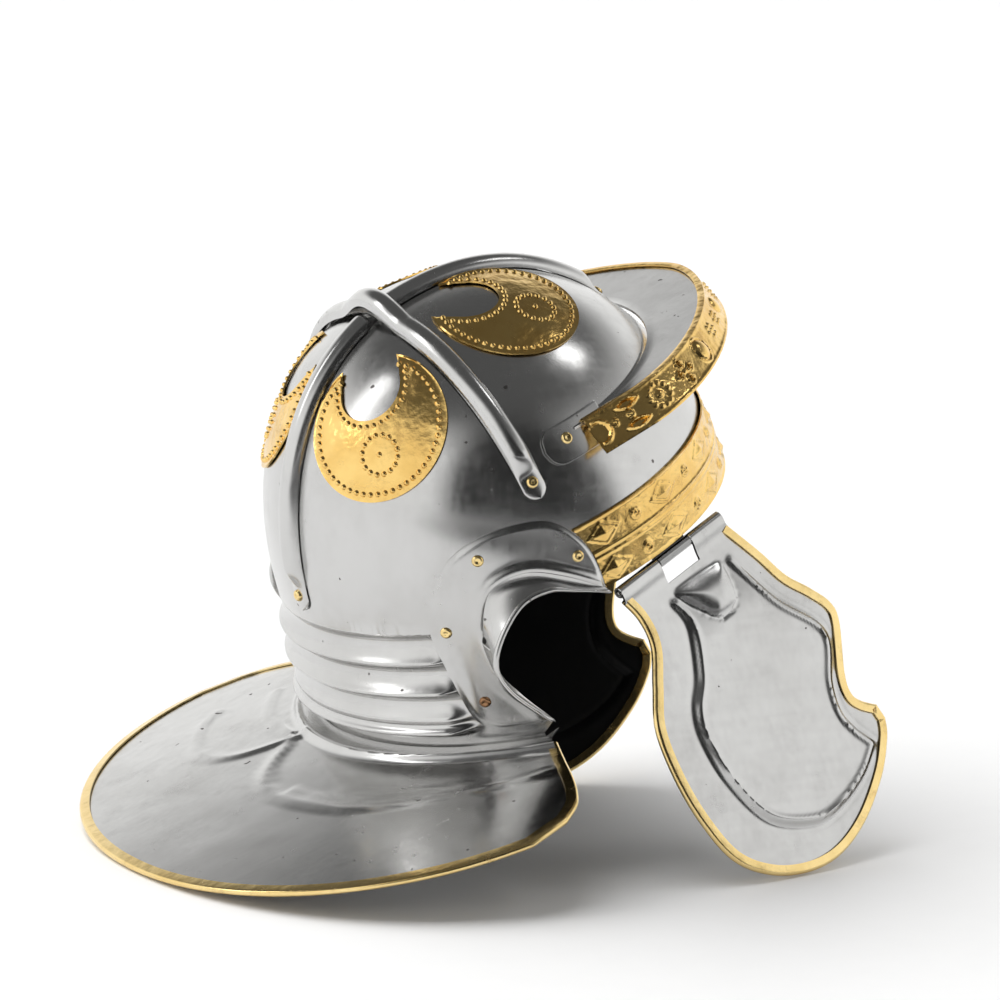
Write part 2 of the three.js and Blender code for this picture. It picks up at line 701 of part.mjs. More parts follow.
function swing(group, side, splay) {
  group.rotation.x = side * radians(splay);
}

const rightHinge = atHinge(-1);
rightHinge.updateMatrix();
const leaf = hingeLeaf(rightHinge.matrix);
helmet.add(mesh('hinge_leaf_right', leaf, steel), mesh('hinge_leaf_left', mirrored(leaf), steel));

const guards = {};
for (const side of [-1, 1]) {
  const name = sideName(side);
  const pin = atHinge(side);
  pin.add(mesh(`hinge_pin_${name}`, sided(barrel([0, 1], hinge.pin), side), steel));
  guards[name] = atHinge(side);
  guards[name].add(mesh(`cheek_guard_${name}`, sided(cheekGuard(), side), steel));
  guards[name].add(mesh(`cheek_trim_${name}`, sided(cheekTrim(), side), brass));
}

// The rest: the lean at which the neck guard and the right cheek guard stand
// level, and the swing that brings the left one down to them.

const lowest = (object) => new THREE.Box3().setFromObject(object, true).min.z;

function solve(from, to, rises) {
  let [low, high] = [from, to];
  for (let i = 0; i < 30; i++) {
    const middle = (low + high) / 2;
    if (rises(middle)) low = middle;
    else high = middle;
  }
  return (low + high) / 2;
}

const object = new THREE.Group();
object.add(helmet);
swing(guards.right, -1, rightSplay);
const lean = solve(5, 40, (degrees) => {
  helmet.rotation.y = -radians(degrees);
  object.updateMatrixWorld(true);
  return lowest(neckRim) > lowest(guards.right);
});
helmet.rotation.y = -radians(lean);
const leftSplay = -solve(0, 60, (degrees) => {
  swing(guards.left, 1, -degrees);
  object.updateMatrixWorld(true);
  return lowest(guards.left) < lowest(guards.right);
});
swing(guards.left, 1, leftSplay);

object.updateMatrixWorld(true);
const bounds = new THREE.Box3().setFromObject(object, true);
const middle = bounds.getCenter(vector(0, 0, 0));
helmet.position.set(-middle.x, -middle.y, -bounds.min.z);
object.updateMatrixWorld(true);

export default object;
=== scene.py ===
# %% [markdown]
# # A Roman legionary helmet
#
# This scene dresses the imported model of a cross-braced helmet. The sizes come
# from the frame, and every piece is drawn in millimetres round the centre of
# the brow rim, with the helmet level, because that is how a smith measures it.
# One matrix then leans it back to where it rests on its neck guard.

# %% Load the frame
import bmesh
import bpy
import json
import math
from mathutils import Matrix, Vector
from mathutils.bvhtree import BVHTree


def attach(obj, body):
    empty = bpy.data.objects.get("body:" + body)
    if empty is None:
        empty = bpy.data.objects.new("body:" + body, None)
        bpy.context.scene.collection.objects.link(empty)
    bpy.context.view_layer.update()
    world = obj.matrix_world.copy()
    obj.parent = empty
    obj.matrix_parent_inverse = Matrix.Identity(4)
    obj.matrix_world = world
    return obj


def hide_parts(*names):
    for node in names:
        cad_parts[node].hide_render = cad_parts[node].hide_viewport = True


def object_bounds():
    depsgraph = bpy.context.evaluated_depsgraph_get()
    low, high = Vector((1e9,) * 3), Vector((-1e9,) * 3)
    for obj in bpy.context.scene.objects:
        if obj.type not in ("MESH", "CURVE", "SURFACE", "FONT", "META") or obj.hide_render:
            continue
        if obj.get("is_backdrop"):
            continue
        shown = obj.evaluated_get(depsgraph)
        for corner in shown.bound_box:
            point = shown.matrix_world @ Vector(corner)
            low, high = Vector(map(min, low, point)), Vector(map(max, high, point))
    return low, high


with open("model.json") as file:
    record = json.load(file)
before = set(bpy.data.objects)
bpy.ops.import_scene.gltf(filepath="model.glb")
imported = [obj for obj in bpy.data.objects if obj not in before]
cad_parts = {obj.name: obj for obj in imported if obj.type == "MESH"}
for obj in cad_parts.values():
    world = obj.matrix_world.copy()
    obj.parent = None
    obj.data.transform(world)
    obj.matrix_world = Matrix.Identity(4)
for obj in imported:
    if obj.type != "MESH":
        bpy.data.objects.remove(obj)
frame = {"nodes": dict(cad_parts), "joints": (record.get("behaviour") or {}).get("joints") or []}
model_box = [list(corner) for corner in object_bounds()]
hinges = {joint["name"].split("_")[-1]: joint for joint in frame["joints"]}
print("hinges", sorted(hinges), "box", model_box)

# %% [markdown]
# ## The helmet's own frame
#
# The two hinges say how the helmet lies: the line half way between them gives
# its place, and the rise of their axes gives its lean. The left axis is the
# mirror image of the right one, so the lean comes from one of them alone.
# The splay is how far each guard has swung out as the helmet stands.

# %% Level frame
HINGE = {"x": -5.0, "y": 106.2, "z": -4.5, "yaw": math.radians(12.67)}
SPLAY = {"right": 20.0, "left": 29.984}

axis = hinges["left"]["axis"]
lean = math.atan2(axis[2], axis[0])
middle = (Vector(hinges["left"]["pos_m"]) + Vector(hinges["right"]["pos_m"])) / 2
turn = Matrix.Rotation(-lean, 4, "Y")
LEVEL = Matrix.Translation(middle - turn @ Vector((HINGE["x"], 0, HINGE["z"])) / 1000) @ turn
LEVEL = LEVEL @ Matrix.Scale(0.001, 4)
print("lean", round(math.degrees(lean), 3), "origin", [round(c, 5) for c in LEVEL.translation])

# %% [markdown]
# ## Camera
#
# A long lens from the right and behind, a little above. It is placed in the
# helmet's own frame too, so that the view stays the same if the lean changes.

# %% Camera
def put_in_scene(name, data):
    made = bpy.data.objects.new(name, data)
    bpy.context.scene.collection.objects.link(made)
    return made


def make_camera():
    place = Vector((-850.23, -1702.6, 814.94))
    ahead = Vector((0.415244, 0.823136, -0.387323))
    right = Vector((0.79013, -0.537347, -0.294878))
    up = Vector((0.450851, 0.183589, 0.873515))
    data = bpy.data.cameras.new("camera")
    data.lens = 162.0
    data.sensor_width = 36.0
    camera = put_in_scene("camera", data)
    columns = [(turn @ v).normalized() for v in (right, up, -ahead)]
    camera.matrix_world = Matrix.Translation(LEVEL @ place) @ Matrix(columns).transposed().to_4x4()
    bpy.context.scene.camera = camera
    return camera


camera = make_camera()
print("camera", [round(c, 3) for c in camera.matrix_world.translation])

# %% [markdown]
# ## Small tools
#
# Most pieces are sheets: a grid that is laid over a shape and then given its
# thickness. Bars and rolled edges are a ring of points swept along a line.
# Three helpers do that, and one more puts the result on its body.

# %% Sheets and sweeps
def sheet(across, down, place):
    """A grid laid over a shape: place(u, v) gives each point."""
    bm = bmesh.new()
    bmesh.ops.create_grid(bm, x_segments=across, y_segments=down, size=1.0)
    for vert in bm.verts:
        vert.co = place((vert.co.x + 1) / 2, (vert.co.y + 1) / 2)
    bmesh.ops.remove_doubles(bm, verts=bm.verts[:], dist=1e-3)
    return bm


def sweep(rings):
    """A closed ring of points carried through several places, with closed ends."""
    runs, around = len(rings) - 1, len(rings[0])
    bm = sheet(runs, around, lambda u, v: rings[round(u * runs)][round(v * around) % around])
    bmesh.ops.holes_fill(bm, edges=[e for e in bm.edges if e.is_boundary], sides=0)
    bmesh.ops.recalc_face_normals(bm, faces=bm.faces[:])
    return bm


def thicken(bm, thickness, rounded=0.0, lining=0):
    """Gives a sheet its thickness on the inside, and breaks its sharp rim."""
    outer = set(bm.faces)
    bmesh.ops.solidify(bm, geom=bm.faces[:], thickness=thickness)
    for face in bm.faces:
        face.material_index = 0 if face in outer else lining
    if rounded:
        bm.normal_update()
        edges = [e for e in bm.edges if e.is_manifold and e.calc_face_angle(0) > 1.0]
        bmesh.ops.bevel(
            bm, geom=edges, affect="EDGES", offset=rounded, segments=2, profile=0.5, material=-1
        )
    return bm


def face_towards(bm, spot, way):
    """Turns a sheet over if the face nearest to a spot looks against a direction."""
    bm.normal_update()
    face = min(bm.faces, key=lambda f: (f.calc_center_median() - Vector(spot)).length)
    if face.normal.dot(Vector(way)) < 0:
        bmesh.ops.reverse_faces(bm, faces=bm.faces[:])
    return bm


def mirrored(bm):
    """The same piece for the other side of the helmet."""
    other = bm.copy()
    bmesh.ops.scale(other, vec=(1, -1, 1), verts=other.verts[:])
    bmesh.ops.reverse_faces(other, faces=other.faces[:])
    return other


def join(parts):
    """Several meshes as one."""
    whole = bmesh.new()
    for part in parts:
        held = bpy.data.meshes.new("held")
        part.to_mesh(held)
        whole.from_mesh(held)
        bpy.data.meshes.remove(held)
    return whole


def as_mesh(name, bm, finishes):
    mesh = bpy.data.meshes.new(name)
    bm.to_mesh(mesh)
    for finish in finishes:
        mesh.materials.append(finish)
    return mesh


def piece(name, bm, finishes, body, nodes, place=LEVEL, sharp=38.0):
    """Puts a finished mesh on its body, in place of the nodes it stands for."""
    bm.transform(place)
    if place.determinant() < 0:
        bmesh.ops.reverse_faces(bm, faces=bm.faces[:])
    bm.normal_update()
    for face in bm.faces:
        face.smooth = True
    for edge in bm.edges:
        edge.smooth = not (edge.is_manifold and edge.calc_face_angle(0) > math.radians(sharp))
    made = put_in_scene(name, as_mesh(name, bm, finishes))
    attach(made, body)
    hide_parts(*nodes)
    print(name, len(made.data.polygons), "faces")


# %% [markdown]
# ## Curves on paper
#
# Outlines are short tables of points, joined by a smooth curve that passes
# through each of them. Two questions are asked of an outline: is a point
# inside it, and where is its nearest point.

# %% Outlines
def smooth(points, steps):
    """A curve through all the points, in any number of dimensions."""
    last = len(points) - 1
    found = []
    for i in range(steps + 1):
        t = i / steps * last
        k = min(int(t), last - 1)
        w = t - k
        p = [points[min(max(j, 0), last)] for j in (k - 1, k, k + 1, k + 2)]
        found.append(tuple(
            b + 0.5 * w * (c - a + w * (2 * a - 5 * b + 4 * c - d + w * (3 * (b - c) + d - a)))
            for a, b, c, d in zip(*p)
        ))
    return found


def inside(outline, x, y):
    hit = False
    for (ax, ay), (bx, by) in zip(outline, outline[1:] + outline[:1]):
        if (ay > y) != (by > y) and x < ax + (y - ay) * (bx - ax) / (by - ay):
            hit = not hit
    return hit


def nearest(outline, x, y, closed=True):
    """The distance to an outline, and the nearest point on it."""
    best = (1e9, x, y)
    ends = outline[1:] + outline[:1] if closed else outline[1:]
    for (ax, ay), (bx, by) in zip(outline, ends):
        dx, dy = bx - ax, by - ay
        run = dx * dx + dy * dy
        t = min(max(((x - ax) * dx + (y - ay) * dy) / run, 0), 1) if run else 0
        px, py = ax + t * dx, ay + t * dy
        away = math.hypot(x - px, y - py)
        if away < best[0]:
            best = (away, px, py)
    return best


def ease(value, low, high):
    share = min(max((value - low) / (high - low), 0), 1)
    return share * share * (3 - 2 * share)


def power(value, exponent):
    return math.copysign(abs(value) ** exponent, value)


# %% [markdown]
# ## Shader sums
#
# A finish is a sum of noises and masks. Written as ordinary sums it is far
# easier to read than a list of nodes, so a signal stands for one socket, and
# each sum adds its own Math node.

# %% Signals and finishes
class Signal:
    def __init__(self, finish, socket):
        self.finish, self.socket = finish, socket

    def math(self, operation, *others):
        values = dict(enumerate((self, *others)))
        return self.finish.node("ShaderNodeMath", {"operation": operation}, values)

    def __add__(self, other):
        return self.math("ADD", other)

    def __sub__(self, other):
        return self.math("SUBTRACT", other)

    def __mul__(self, other):
        return self.math("MULTIPLY", other)

    def __rsub__(self, other):
        return self.finish.node("ShaderNodeMath", {"operation": "SUBTRACT"}, {0: other, 1: self})

    __radd__ = __add__
    __rmul__ = __mul__

    def between(self, low, high):
        """0 below low, 1 above high, and smooth in between."""
        settings = {"interpolation_type": "SMOOTHSTEP"}
        return self.finish.node("ShaderNodeMapRange", settings, {0: self, 1: low, 2: high})


class Sums:
    def __init__(self, tree, coordinates):
        self.tree = tree
        self.place = self.node("ShaderNodeTexCoord", output=coordinates)

    def node(self, kind, settings=None, values=None, output=0):
        made = self.tree.nodes.new(kind)
        for key, value in (settings or {}).items():
            setattr(made, key, value)
        for key, value in (values or {}).items():
            self.feed(made.inputs[key], value)
        return Signal(self, made.outputs[output])

    def feed(self, socket, value):
        if isinstance(value, Signal):
            self.tree.links.new(value.socket, socket)
        else:
            socket.default_value = value

    def mix(self, share, first, second):
        return self.node("ShaderNodeMix", {"data_type": "RGBA"}, {0: share, 6: first, 7: second}, 2)


class Finish(Sums):
    def __init__(self, name, metallic):
        self.material = bpy.data.materials.new(name)
        self.material.use_nodes = True
        super().__init__(self.material.node_tree, "Object")
        self.shader = self.tree.nodes["Principled BSDF"]
        self.shader.inputs["Metallic"].default_value = metallic

    def stretched(self, scale):
        return self.node("ShaderNodeMapping", {}, {"Vector": self.place, "Scale": scale})

    def noise(self, scale, detail=3.0, stretch=(1, 1, 1), rough=0.5):
        where = self.place if stretch == (1, 1, 1) else self.stretched(stretch)
        values = {"Vector": where, "Scale": scale, "Detail": detail, "Roughness": rough}
        return self.node("ShaderNodeTexNoise", {}, values)

    def bump(self, height, distance, strength=1.0):
        values = {"Height": height, "Distance": distance, "Strength": strength}
        return self.node("ShaderNodeBump", {}, values, "Normal")

    def done(self, colour, roughness, normal):
        self.feed(self.shader.inputs["Base Color"], colour)
        self.feed(self.shader.inputs["Roughness"], roughness)
        self.feed(self.shader.inputs["Normal"], normal)
        return self.material


# %% [markdown]
# ## Polished steel
#
# The sheet is mild steel that was planished, then polished by hand with fine
# abrasive. What the eye reads is a soft reflection that varies in sharpness,
# hair-fine scratches in crossing directions, low hammer waves, and a few dark
# specks and cloudy patches where polish and oil stayed.

# %% Steel
def make_steel(name, tone=1.0):
    steel = Finish(name, 1.0)
    clouds = steel.noise(16.0, 4.0, rough=0.6)
    patches = steel.noise(55.0, 5.0, rough=0.65).between(0.45, 0.75)
    hairs = steel.noise(420.0, 2.0, (1.0, 1.0, 0.05))
    crossed = steel.noise(380.0, 2.0, (0.06, 1.0, 0.8))
    grains = steel.noise(900.0, 2.0)
    specks = steel.noise(210.0, 1.0).between(0.765, 0.79)
    waves = steel.noise(34.0, 1.0)
    scratches = (hairs - 0.5) + (crossed - 0.5)
    light = (0.60 * tone, 0.597 * tone, 0.59 * tone, 1)
    dull = (0.45 * tone, 0.442 * tone, 0.43 * tone, 1)
    colour = steel.mix(clouds.between(0.4, 0.75) * 0.4 + patches * 0.15, light, dull)
    colour = steel.mix(specks * 0.75, colour, (0.06, 0.05, 0.045, 1))
    roughness = clouds * 0.12 + patches * 0.06 + scratches * 0.1 + specks * 0.2 + 0.15
    height = scratches * 0.035 + grains * 0.015 + waves * 1.1
    return steel.done(colour, roughness, steel.bump(height, 0.00022))


STEEL = make_steel("polished_steel")
STEEL_DARK = make_steel("blackened_steel", 0.55)

# %% [markdown]
# ## Brass
#
# Thin brass sheet, pressed over a pattern, so it is full of small crinkles.
# It is kept bright on the high spots, and browner where a cloth never reaches.

# %% Brass
def make_brass(name, crinkle=1.0, bright=(0.90, 0.62, 0.22, 1), deep=(0.66, 0.38, 0.09, 1)):
    brass = Finish(name, 1.0)
    clouds = brass.noise(60.0, 3.0)
    folds = brass.noise(130.0, 2.0, rough=0.4)
    dents = brass.noise(310.0, 2.0)
    grains = brass.noise(1100.0, 2.0)
    tarnish = brass.noise(95.0, 5.0, rough=0.7).between(0.52, 0.78)
    colour = brass.mix(clouds.between(0.3, 0.75) * 0.5, bright, deep)
    colour = brass.mix(tarnish * 0.35, colour, (0.33, 0.18, 0.06, 1))
    roughness = clouds * 0.1 + tarnish * 0.14 + grains * 0.06 + 0.12
    height = folds * (1.5 * crinkle) + dents * (0.5 * crinkle) + grains * 0.03
    return brass.done(colour, roughness, brass.bump(height, 0.0004))


BRASS = make_brass("pressed_brass")
BRASS_ROLLED = make_brass("rolled_brass", 0.35, (0.90, 0.69, 0.32, 1), (0.76, 0.53, 0.19, 1))
BRASS_BROWN = make_brass("browned_brass", 0.6, (0.34, 0.19, 0.10, 1), (0.16, 0.08, 0.04, 1))

# %% [markdown]
# ## Black paint
#
# The inside is brushed with satin black paint against rust. It pools a little,
# so its gloss isn't even.

# %% Paint
def make_paint():
    paint = Finish("black_paint", 0.0)
    clouds = paint.noise(25.0, 4.0)
    brush = paint.noise(160.0, 3.0, (1.0, 1.0, 0.2))
    colour = paint.mix(clouds, (0.002, 0.0022, 0.0025, 1), (0.006, 0.006, 0.0065, 1))
    paint.shader.inputs["Specular IOR Level"].default_value = 0.3
    return paint.done(colour, clouds * 0.2 + brush * 0.1 + 0.25, paint.bump(brush, 0.0002))


PAINT = make_paint()
print("finishes", [m.name for m in bpy.data.materials])

# %% [markdown]
# ## The raised skull
#
# The skull is round in plan, a little longer ahead than behind, and its
# profile is a squarish dome. Both are one formula each, so a point of the
# sheet follows from its direction and its height alone.

# %% Skull and nape
SKULL = {"front": 112.5, "rear": 102.0, "side": 102.5, "height": 125.0, "round": 2.15}
NAPE = {"depth": 66.5, "rise": math.tan(math.radians(8)), "plain_to": 134.0, "ridged_from": 143.0}
NECK = {"half": 149.7, "length": 140.8, "behind": 85.5, "drop": 81.9, "round": 2.09}
NECK["rise"] = math.tan(math.radians(7.86))
SHEET = 1.2
GAP = 0.3
FOIL = 0.8
TRIM_REACH = GAP + FOIL

# Depth and swell of the three ridges, in shares of the nape's depth.
RIDGES = [
    (0.0, 0.0), (0.09, 0.0), (0.11, -0.006), (0.13, -0.02), (0.16, -0.022), (0.2, -0.006),
    (0.25, 0.024), (0.28, 0.05), (0.297, 0.062), (0.315, 0.054), (0.34, 0.014), (0.365, -0.004),
    (0.4, 0.0), (0.45, 0.03), (0.49, 0.066), (0.515, 0.092), (0.532, 0.088), (0.555, 0.042),
    (0.58, 0.018), (0.615, 0.022), (0.67, 0.052), (0.71, 0.084), (0.735, 0.09), (0.755, 0.082),
    (0.78, 0.096), (0.8, 0.122), (0.818, 0.124), (0.835, 0.09), (0.855, 0.03), (0.88, 0.006),
    (0.93, 0.002), (0.98, 0.01),
]


def skull_scale(z):
    up = min(max(z / SKULL["height"], 0), 1)
    return (1 - up ** SKULL["round"]) ** (1 / SKULL["round"])


def skull_point(azimuth, z, out=0.0):
    reach = SKULL["front"] if math.cos(azimuth) > 0 else SKULL["rear"]
    scale = skull_scale(z)
    x = (reach * scale + out) * math.cos(azimuth)
    return Vector((x, (SKULL["side"] * scale + out) * math.sin(azimuth), z))


def skull_measure(point, out=0.0):
    """Below 1 inside the skull grown by out, above 1 outside it."""
    reach = (SKULL["front"] if point.x > 0 else SKULL["rear"]) + out
    across = math.hypot(point.x / reach, point.y / (SKULL["side"] + out))
    up = max(point.z, 0) / (SKULL["height"] + out)
    return across ** SKULL["round"] + up ** SKULL["round"]


def on_skull(start, direction, out=0.0):
    near, far = 0.0, 260.0
    for _ in range(26):
        half = (near + far) / 2
        if skull_measure(start + direction * half, out) < 1:
            near = half
        else:
            far = half
    return start + direction * near


# %% [markdown]
# ## The neck guard's own lines
#
# Below the nape the sheet turns out into a wide plate. It starts with a raised
# flange that ends in a bead, and it carries embossed petal lines. Each line is
# a low ridge, so the height of the plate only needs the distance to the line.

# %% Neck guard
def rim_at(angle, reach):
    """The plate's outer edge, from the right corner round to the left one."""
    x = -NECK["behind"] - (NECK["length"] + reach) * power(math.cos(angle), 2 / NECK["round"])
    return x, (NECK["half"] + reach) * power(math.sin(angle), 2 / NECK["round"])


def rim_point(azimuth, reach):
    corner = math.atan2(NECK["behind"], NECK["half"]) + math.pi / 2
    folded = abs(azimuth)
    x, y = rim_at((math.pi - folded) / (math.pi - corner) * math.pi / 2, reach)
    if folded < corner:
        x = -NECK["behind"] + 225 * math.cos(folded / corner * math.pi / 2)
        y = (NECK["half"] + reach) * math.sin(folded / corner * math.pi / 2)
    return Vector((x, math.copysign(y, azimuth), -NECK["drop"] - NECK["rise"] * x))


PETALS = [
    [(-113, 22), (-122, 27), (-131, 31.5), (-140.2, 37.5), (-147.5, 47.2), (-149.5, 60.5),
     (-145, 73.7), (-137, 86.2), (-128.6, 94.6), (-118, 101)],
    [(-115.5, 30), (-114.8, 42), (-112.6, 55), (-107.5, 68), (-100.8, 78), (-91.3, 87.5)],
    [(-118, 27), (-126, 20.5), (-135.5, 14.5), (-143.5, 7.5), (-150, -1.7), (-153.2, -11.5),
     (-153.3, -22.6), (-150.7, -34.4), (-143.9, -52.7), (-135.1, -65.4), (-119.6, -81.1),
     (-98.5, -95.7), (-83.2, -103.2), (-64.2, -109.5)],
]
PETALS = [smooth(line, 40) for line in PETALS]
INNER_LINE = smooth([(-147, -20), (-146.5, -30), (-142.5, -39), (-136, -50), (-128.2, -61.4),
                     (-116, -74), (-102.8, -85.8), (-88, -94)], 30)


def petal_height(x, y):
    height = 0.0
    for line in PETALS:
        away = nearest(line, x, y, closed=False)[0]
        height = max(height, 1.1 * math.exp(-(away / 2.3) ** 2))
    away = nearest(INNER_LINE, x, y, closed=False)[0]
    return max(height, 0.5 * math.exp(-(away / 1.9) ** 2))


def flange_height(azimuth, out):
    """The raised flange round the nape, and the bead that ends it."""
    rear = ease(abs(math.degrees(azimuth)), 135, 178)
    step = 7.4 + 4.0 * rear
    height = 2.0 * (1 - ease(out, step, step + 4.5))
    return height + 1.0 * math.exp(-((out - step) / 1.3) ** 2)


# %% [markdown]
# ## One sheet, in one grid
#
# Columns of the grid run from the crown down the skull, over the ridges and
# out to the rim. More columns are spent behind, where the ridges and petals
# are. The openings are cut last: faces in the opening go, and the edge that
# is left is drawn onto the line.

# %% Columns of the sheet
def shares(stops):
    """Angles from 0 to 180 degrees, with a chosen number between two stops."""
    found = [stops[0][0]]
    for (start, _), (end, count) in zip(stops, stops[1:]):
        found += [start + (end - start) * (i + 1) / count for i in range(count)]
    return found


SIDE_ANGLES = shares([(0, 0), (88, 28), (122, 24), (180, 114)])
ANGLES = [math.radians(a) for a in [-a for a in SIDE_ANGLES[:0:-1]] + SIDE_ANGLES]
SKULL_ROWS = 44
RIDGE_ROWS = smooth(RIDGES, 66)
FLANGE_ROWS = 30
FLANGE_STEP = 0.6
PLATE_ROWS = 62


def sheet_column(azimuth, ridged=True):
    foot = -0.09 * NAPE["depth"] - NAPE["rise"] * skull_point(azimuth, 0).x
    behind = ease(abs(math.degrees(azimuth)), 92, 104)
    foot *= behind
    points = []
    for i in range(SKULL_ROWS + 1):
        share = max(math.cos(i / SKULL_ROWS * math.pi / 2), 0) ** (2 / SKULL["round"])
        points.append(skull_point(azimuth, foot + (SKULL["height"] - foot) * share))
    fade = ease(abs(math.degrees(azimuth)), NAPE["plain_to"], NAPE["ridged_from"])
    for depth, swell in RIDGE_ROWS:
        swell = swell if ridged else 0.13 * ease(depth, 0.1, 0.8)
        point = skull_point(azimuth, 0, swell * fade * NAPE["depth"])
        z = -depth * NAPE["depth"] - NAPE["rise"] * point.x
        point.z = z if z < points[-1].z - 0.05 else points[-1].z - 0.05
        points.append(point)
    seat = points[-1].copy()
    rim = rim_point(azimuth, 6.6)
    run = math.hypot(rim.x - seat.x, rim.y - seat.y)
    if abs(azimuth) > math.radians(108):
        for i in range(1, PLATE_ROWS + 1):
            share = max(i - FLANGE_ROWS, 0) / (PLATE_ROWS - FLANGE_ROWS)
            out = min(i, FLANGE_ROWS) * FLANGE_STEP + (run - FLANGE_STEP * FLANGE_ROWS) * share
            point = seat.lerp(rim, out / run)
            if ridged:
                point.z += flange_height(azimuth, out) * ease(out, 0, 1.2)
                point.z += petal_height(point.x, point.y) * ease(out, 9, 13)
            points.append(point)
    else:
        points += [seat.copy() for _ in range(PLATE_ROWS)]
    return points


def lay_sheet(ridged=True):
    columns = [sheet_column(a, ridged) for a in reversed(ANGLES)]
    across, down = len(columns) - 1, len(columns[0]) - 1
    return sheet(across, down, lambda u, v: columns[round(u * across)][round(v * down)].copy())


plain_sheet = lay_sheet(ridged=False)
plain_tree = BVHTree.FromBMesh(plain_sheet)
raised_sheet = lay_sheet()
print("sheet", len(raised_sheet.faces), "faces")

# %% [markdown]
# ## Ear opening and neck outline
#
# The ear opening is drawn from the side, and the neck guard from above. The
# same lines are used for the sheet, for the ear guards and for the brass trim.

# %% Lines of the openings
EAR = {"size": 72.0, "front": -8.0}
EAR_ARCH = [
    (0, 0), (-0.22, 0.19), (-0.44, 0.31), (-0.65, 0.27), (-0.755, 0.06), (-0.755, -0.25),
    (-0.68, -0.46), (-0.56, -0.69),
]
EAR_EDGE = [
    (0, 0), (0, 0.16), (-0.04, 0.34), (-0.17, 0.53), (-0.4, 0.6), (-0.63, 0.585), (-0.82, 0.47),
    (-0.96, 0.21), (-0.99, -0.1), (-0.95, -0.48), (-0.86, -0.625), (-0.72, -0.66), (-0.56, -0.69),
]
EAR_LIP = [
    (0.01, -0.03, 1.47), (-0.19, 0.08, 1.435), (-0.36, 0.165, 1.41), (-0.56, 0.16, 1.385),
    (-0.76, 0.02, 1.375), (-0.85, -0.15, 1.365), (-0.79, -0.36, 1.345), (-0.59, -0.66, 1.325),
]


def ear_place(point):
    return EAR["front"] + point[0] * EAR["size"], point[1] * EAR["size"]


ear_arch = [ear_place(p) for p in smooth(EAR_ARCH, 72)]
ear_edge = [ear_place(p) for p in smooth(EAR_EDGE, 72)]
face_line = ear_arch + [ear_place((-0.486, -0.833)), (-43.0, -170.0), (340.0, -170.0), (340.0, 0.0)]

NECK_FRONT = [(-50, -94), (-56, -108), (-60.5, -119), (-66, -129.5), (-72.5, -137.5), (-83, -144.2)]
half_rim = smooth(NECK_FRONT, 24) + [rim_at(math.radians(-83.2 + i * 1.3), 0) for i in range(64)]
neck_rim = half_rim + [(x, -y) for x, y in reversed(half_rim)]


def drawn_in(outline, distance):
    """A closed outline moved inwards all round, whichever way it turns."""
    before, after = outline[-1:] + outline[:-1], outline[1:] + outline[:1]
    area = sum(a[0] * b[1] - b[0] * a[1] for a, b in zip(outline, after))
    step = distance if area < 0 else -distance
    found = []
    for (x, y), (ax, ay), (bx, by) in zip(outline, before, after):
        run = math.hypot(bx - ax, by - ay) or 1.0
        found.append((x + (by - ay) / run * step, y - (bx - ax) / run * step))
    return found


# %% [markdown]
# ## Cutting the sheet
#
# The smith trims a raised sheet with shears, then files it to the line. Here
# the faces beyond the line go, and the edge that is left moves onto the line.
# Points that fall together there are merged, or the thickness would spike.

# %% Cut the sheet
def cut_sheet(bm):
    limit = drawn_in(neck_rim, TRIM_REACH + 0.3)
    doomed = []
    for face in bm.faces:
        c = face.calc_center_median()
        if c.z < -0.6 * NAPE["depth"] and not inside(limit, c.x, c.y):
            doomed.append(face)
        elif c.z < 40 and inside(face_line, c.x, c.z):
            doomed.append(face)
    bmesh.ops.delete(bm, geom=doomed, context="FACES")
    loose = [v for v in bm.verts if not v.link_faces]
    bmesh.ops.delete(bm, geom=loose, context="VERTS")
    for vert in [v for v in bm.verts if v.is_boundary]:
        x, y, z = vert.co
        if z > -36 or math.hypot(x, y) < 112:
            away, nx, nz = nearest(face_line, x, z)
            if away < 5:
                way = Vector((0, -math.copysign(1, y), 0))
                hit = plain_tree.ray_cast(Vector((nx, math.copysign(300, y), nz)), way)[0]
                near = hit is not None and abs(hit.y - y) < 6
                vert.co = (nx, hit.y if near else y, nz)
        else:
            away, nx, ny = nearest(limit, x, y)
            if away < 6:
                vert.co.x, vert.co.y = nx, ny
    bmesh.ops.remove_doubles(bm, verts=bm.verts[:], dist=0.12)
    bmesh.ops.dissolve_degenerate(bm, dist=0.05, edges=bm.edges[:])
    return bm


cut_sheet(raised_sheet)
thicken(raised_sheet, SHEET, lining=1)
piece("bowl_sheet", raised_sheet, [STEEL, PAINT], "helmet", ["bowl"])

# %% [markdown]
# ## Trim of the neck guard
#
# A strip of thin brass is folded round the plate's edge and hammered tight, so
# it is a little uneven. It is a rounded channel, swept along the edge, with
# each ring standing square to the plate.

# %% Brass channel
def channel(reach, grip, half, wall):
    """Section of a folded strip: out from the edge, and up from the plate."""
    bend = half
    outer = [(-grip, half)]
    outer += [(reach - bend + bend * math.sin(a), bend * math.cos(a))
              for a in [math.pi * i / 10 for i in range(11)]]
    outer += [(-grip, -half)]
    inner = [(-grip, -half + wall), (reach - bend, -half + wall), (reach - wall, 0),
             (reach - bend, half - wall), (-grip, half - wall)]
    return outer + inner


def trim_rings(places, section):
    """places: a point, the way out and the way up for each step."""
    return [[at + out * a + up * b for a, b in section] for at, out, up in places]


